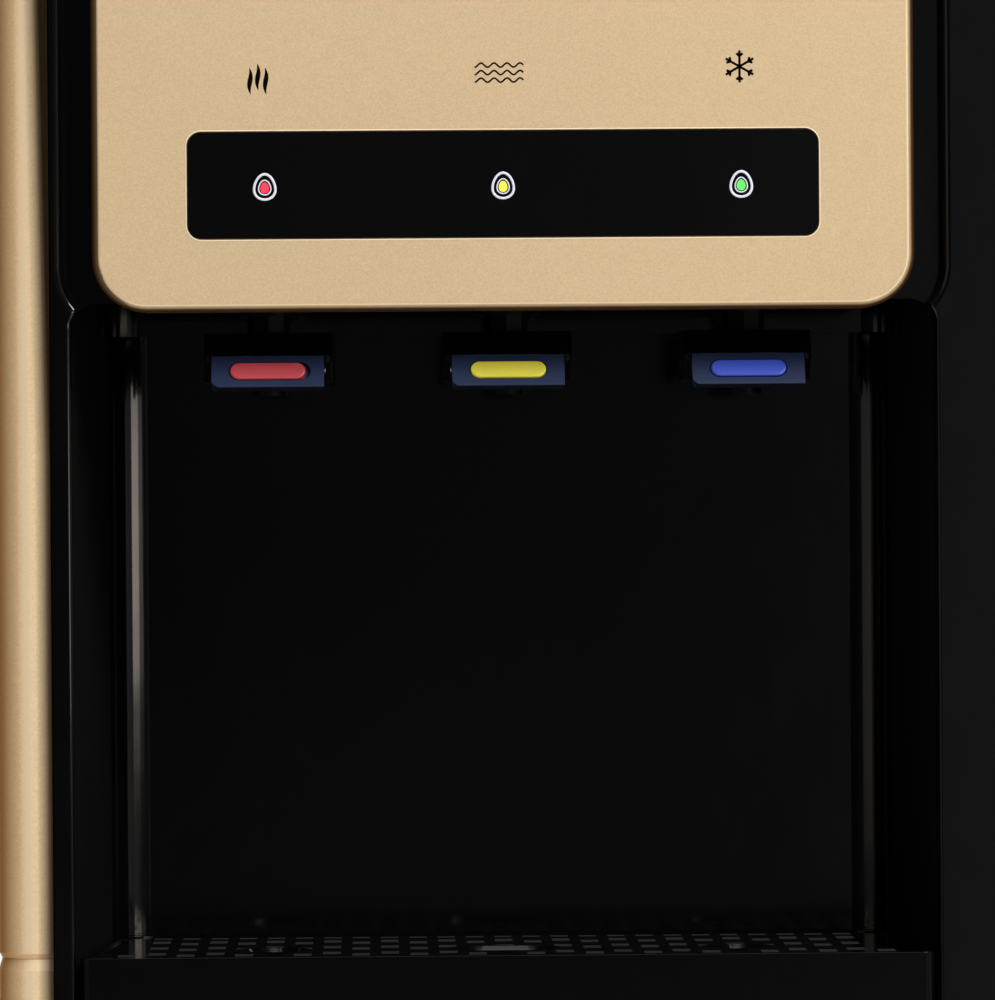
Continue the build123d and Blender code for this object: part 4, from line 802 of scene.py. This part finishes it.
def screw_tree():
    """Node tree that sets a head on every point, each turned by chance."""
    tree = bpy.data.node_groups.new("screws", "GeometryNodeTree")
    sockets = {}
    for label, kind in (("Points", "Geometry"), ("Head", "Object"), ("Finish", "Material")):
        made = tree.interface.new_socket(label, in_out="INPUT", socket_type="NodeSocket" + kind)
        sockets[label] = made.identifier
    tree.interface.new_socket("Screws", in_out="OUTPUT", socket_type="NodeSocketGeometry")
    made = {}
    for name, kind in (("start", "NodeGroupInput"), ("head", "GeometryNodeObjectInfo"),
            ("chance", "FunctionNodeRandomValue"), ("turn", "FunctionNodeEulerToRotation"),
            ("set", "GeometryNodeInstanceOnPoints"), ("real", "GeometryNodeRealizeInstances"),
            ("finish", "GeometryNodeSetMaterial"), ("end", "NodeGroupOutput")):
        made[name] = tree.nodes.new(kind)
    made["chance"].data_type = "FLOAT_VECTOR"
    made["chance"].inputs[1].default_value = (0, pi, 0)
    for source, outlet, target, inlet in (
        ("start", "Points", "set", "Points"),
        ("start", "Head", "head", "Object"),
        ("head", "Geometry", "set", "Instance"),
        ("chance", "Value", "turn", "Euler"),
        ("turn", "Rotation", "set", "Rotation"),
        ("set", "Instances", "real", "Geometry"),
        ("real", "Geometry", "finish", "Geometry"),
        ("start", "Finish", "finish", "Material"),
        ("finish", "Geometry", "end", "Screws"),
    ):
        tree.links.new(made[source].outputs[outlet], made[target].inputs[inlet])
    return tree, sockets


rear_low, rear_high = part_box("rear_panel")
screw_spots = []
for row in range(screw_rows):
    level = rear_low.z + screw_end + (rear_high.z - rear_low.z - 2 * screw_end) * row / (screw_rows - 1)
    for x in (rear_low.x + screw_side, rear_high.x - screw_side):
        screw_spots.append((x, rear_skin, level))
head = screw_head()
spots = bpy.data.meshes.new("screw_spots")
spots.from_pydata(screw_spots, [], [])
points = bpy.data.objects.new("screw_spots", spots)
bpy.context.scene.collection.objects.link(points)
screw_nodes, screw_sockets = screw_tree()
setting = points.modifiers.new("screws", "NODES")
setting.node_group = screw_nodes
setting[screw_sockets["Head"]] = head
setting[screw_sockets["Finish"]] = nodes["base_plate"].data.materials[0]
screws = as_mesh(points, "rear_screws")
bpy.data.objects.remove(head)
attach(screws, "cabinet")


# Switch plate, rockers, cord inlet and drain: moulded parts that snap into the rear panel. The
# rockers are red for heating and blue for cooling, each with a bar and a ring printed on it.
coat(black_plastic, "switch_plate", "power_inlet", "drain_outlet", "drain_cap")
coat(hot_red, "rocker_heating")
coat(cold_blue, "rocker_cooling")
rocker_lean = radians(8)
rocker_half = 0.003
mark_reach = 0.0052
mark_half = 0.0017
mark_rise = 0.00006
mark_stroke = 0.0005
mark_steps = 32


def on_rocker(low, high, across, along):
    """Point on the sloped face of a rocker."""
    middle = (low + high) / 2
    face = middle + rocker_half * Vector((0, cos(rocker_lean), sin(rocker_lean)))
    return face + Vector((across, -along * sin(rocker_lean), along * cos(rocker_lean)))


for rocker, body, slot in (("rocker_heating", "heating_switch", "hot_red"),
        ("rocker_cooling", "cooling_switch", "cold_blue")):
    low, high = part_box(rocker)
    bar = [on_rocker(low, high, 0, mark_reach + end * mark_half) for end in (-1, 1)]
    ring = []
    for i in range(mark_steps):
        turn = 2 * pi * i / mark_steps
        ring.append(on_rocker(low, high, mark_half * cos(turn), mark_half * sin(turn) - mark_reach))
    marks = [(bar, False, even), (ring, True, even)]
    printed(rocker + "_marks", marks, mark_stroke, mark_rise, glowing_white_ink, body)


# Studio: a pale floor, a main light above at the right with two warm strips below it, a weak card at
# the left, and lights above and behind. The gloss black mirrors a room that is dark behind the
# camera, with one window high up in it.


def flat_card(name, corners, material):
    mesh = bpy.data.meshes.new(name)
    mesh.from_pydata(corners, [], [tuple(range(len(corners)))])
    mesh.materials.append(material)
    piece = bpy.data.objects.new(name, mesh)
    bpy.context.scene.collection.objects.link(piece)
    return piece


def plain_card(name, color, roughness):
    material, start = new_finish(name)
    clouds = start.noise(3, 3)
    surface(start, {
        "Base Color": clouds.tint(scaled(color, 0.98), color),
        "Roughness": roughness,
    })
    return material


floor_half = 6.0
floor_corners = [(-floor_half, -floor_half, 0), (floor_half, -floor_half, 0), (floor_half, floor_half, 0),
    (-floor_half, floor_half, 0)]
flat_card("floor", floor_corners, plain_card("pale_floor", (0.86, 0.855, 0.845), 0.7))


def soft_box(name, place, target, width, height, power, color):
    lamp = bpy.data.lights.new(name, "AREA")
    lamp.shape = "RECTANGLE"
    lamp.size = width
    lamp.size_y = height
    lamp.energy = power
    lamp.color = color
    box = bpy.data.objects.new(name, lamp)
    aim = (Vector(target) - Vector(place)).to_track_quat("-Z", "Y")
    box.matrix_world = Matrix.Translation(place) @ aim.to_matrix().to_4x4()
    bpy.context.scene.collection.objects.link(box)


middle = (0.0, 0.0, 0.7)
niche_corner = (-0.12, -0.07, 0.695)
lamp_warm = (1.0, 0.91, 0.79)
panel_middle = (0.0, 0.0, 0.9)
lamp_white = (1.0, 1.0, 1.0)
soft_boxes = (
    ("main_light", (1.15, -1.6, 2.5), middle, 1.4, 0.9, 66, lamp_white),
    ("side_strip", (1.280, -1.895, 0.695), niche_corner, 0.852, 0.19, 2.4, lamp_warm),
    ("dim_strip", (0.704, -2.217, 0.695), niche_corner, 0.483, 0.19, 0.35, lamp_warm),
    ("left_card", (-1.6, -1.6, 1.1), panel_middle, 1.2, 1.2, 1.2, lamp_warm),
    ("top_light", (0.0, -0.2, 2.6), middle, 1.6, 1.6, 20, lamp_white),
    ("back_light", (-0.9, 2.2, 1.6), middle, 1.2, 1.4, 30, lamp_white),
)
for name, place, target, width, height, power, color in soft_boxes:
    soft_box(name, place, target, width, height, power, color)

backdrop_level = 0.95
fill_level = 0.24
room_stops = (
    (0.0, 0.5), (0.25, 0.16), (0.40, 0.05), (0.47, 0.01), (0.493, 0.015), (0.4965, 0.05), (0.5105, 0.05),
    (0.5135, 0.17), (0.519, 0.17), (0.526, 0.05), (0.57, 0.05), (0.64, 0.2), (0.75, 0.4), (1.0, 0.5),
)
window_rise_stops = ((0.40, 0.0), (0.48, 0.9), (0.62, 0.9), (0.72, 0.0))
window_turn_stops = ((0.42, 0.0), (0.46, 1.0), (0.54, 1.0), (0.58, 0.0))
world = bpy.data.worlds.new("studio")
bpy.context.scene.world = world
world.use_nodes = True
world.node_tree.nodes.clear()
air = Signal(world.node_tree)
way = air.add("TexCoord", outlet="Generated")
right = air.add("SeparateXYZ", sockets={"Vector": way}, outlet="X")
back = air.add("SeparateXYZ", sockets={"Vector": way}, outlet="Y")
turn = air.sum("ARCTAN2", right, 0 - back) * (0.5 / pi) + 0.5
room = turn.ramp(*room_stops)
rise = air.add("SeparateXYZ", sockets={"Vector": way}, outlet="Z")
window = rise.ramp(*window_rise_stops) * turn.ramp(*window_turn_stops)
camera_ray = air.add("LightPath", outlet="Is Camera Ray")
seen = air.sum("MAXIMUM", camera_ray, air.add("LightPath", outlet="Is Transmission Ray"))
glossy = air.add("LightPath", outlet="Is Glossy Ray")
strength = seen * backdrop_level + glossy * (room + window) + (1 - seen) * (1 - glossy) * fill_level
glow = air.add("Background", sockets={"Color": (1.0, 1.0, 1.0, 1.0), "Strength": strength})
air.add("OutputWorld", sockets={"Surface": glow})


# Camera: in front of the taps, a little left of the middle, with a long lens. It is turned right by a
# degree, and tilted down and rolled by less than half of one.
camera_place = Vector((-0.0470, -2.270, 0.752))
camera_yaw = 1.025
camera_pitch = 0.408
camera_roll = 0.40
camera = bpy.data.cameras.new("camera")
camera.sensor_fit = "VERTICAL"
camera.sensor_height = 36.0
camera.lens = 252.6
camera.clip_end = 60.0
viewer = bpy.data.objects.new("camera", camera)
viewer.matrix_world = (
    Matrix.Translation(camera_place)
    @ Matrix.Rotation(radians(-camera_yaw), 4, "Z")
    @ Matrix.Rotation(radians(90 - camera_pitch), 4, "X")
    @ Matrix.Rotation(radians(-camera_roll), 4, "Z")
)
bpy.context.scene.collection.objects.link(viewer)
bpy.context.scene.camera = viewer
bpy.context.scene.view_settings.view_transform = "Standard"
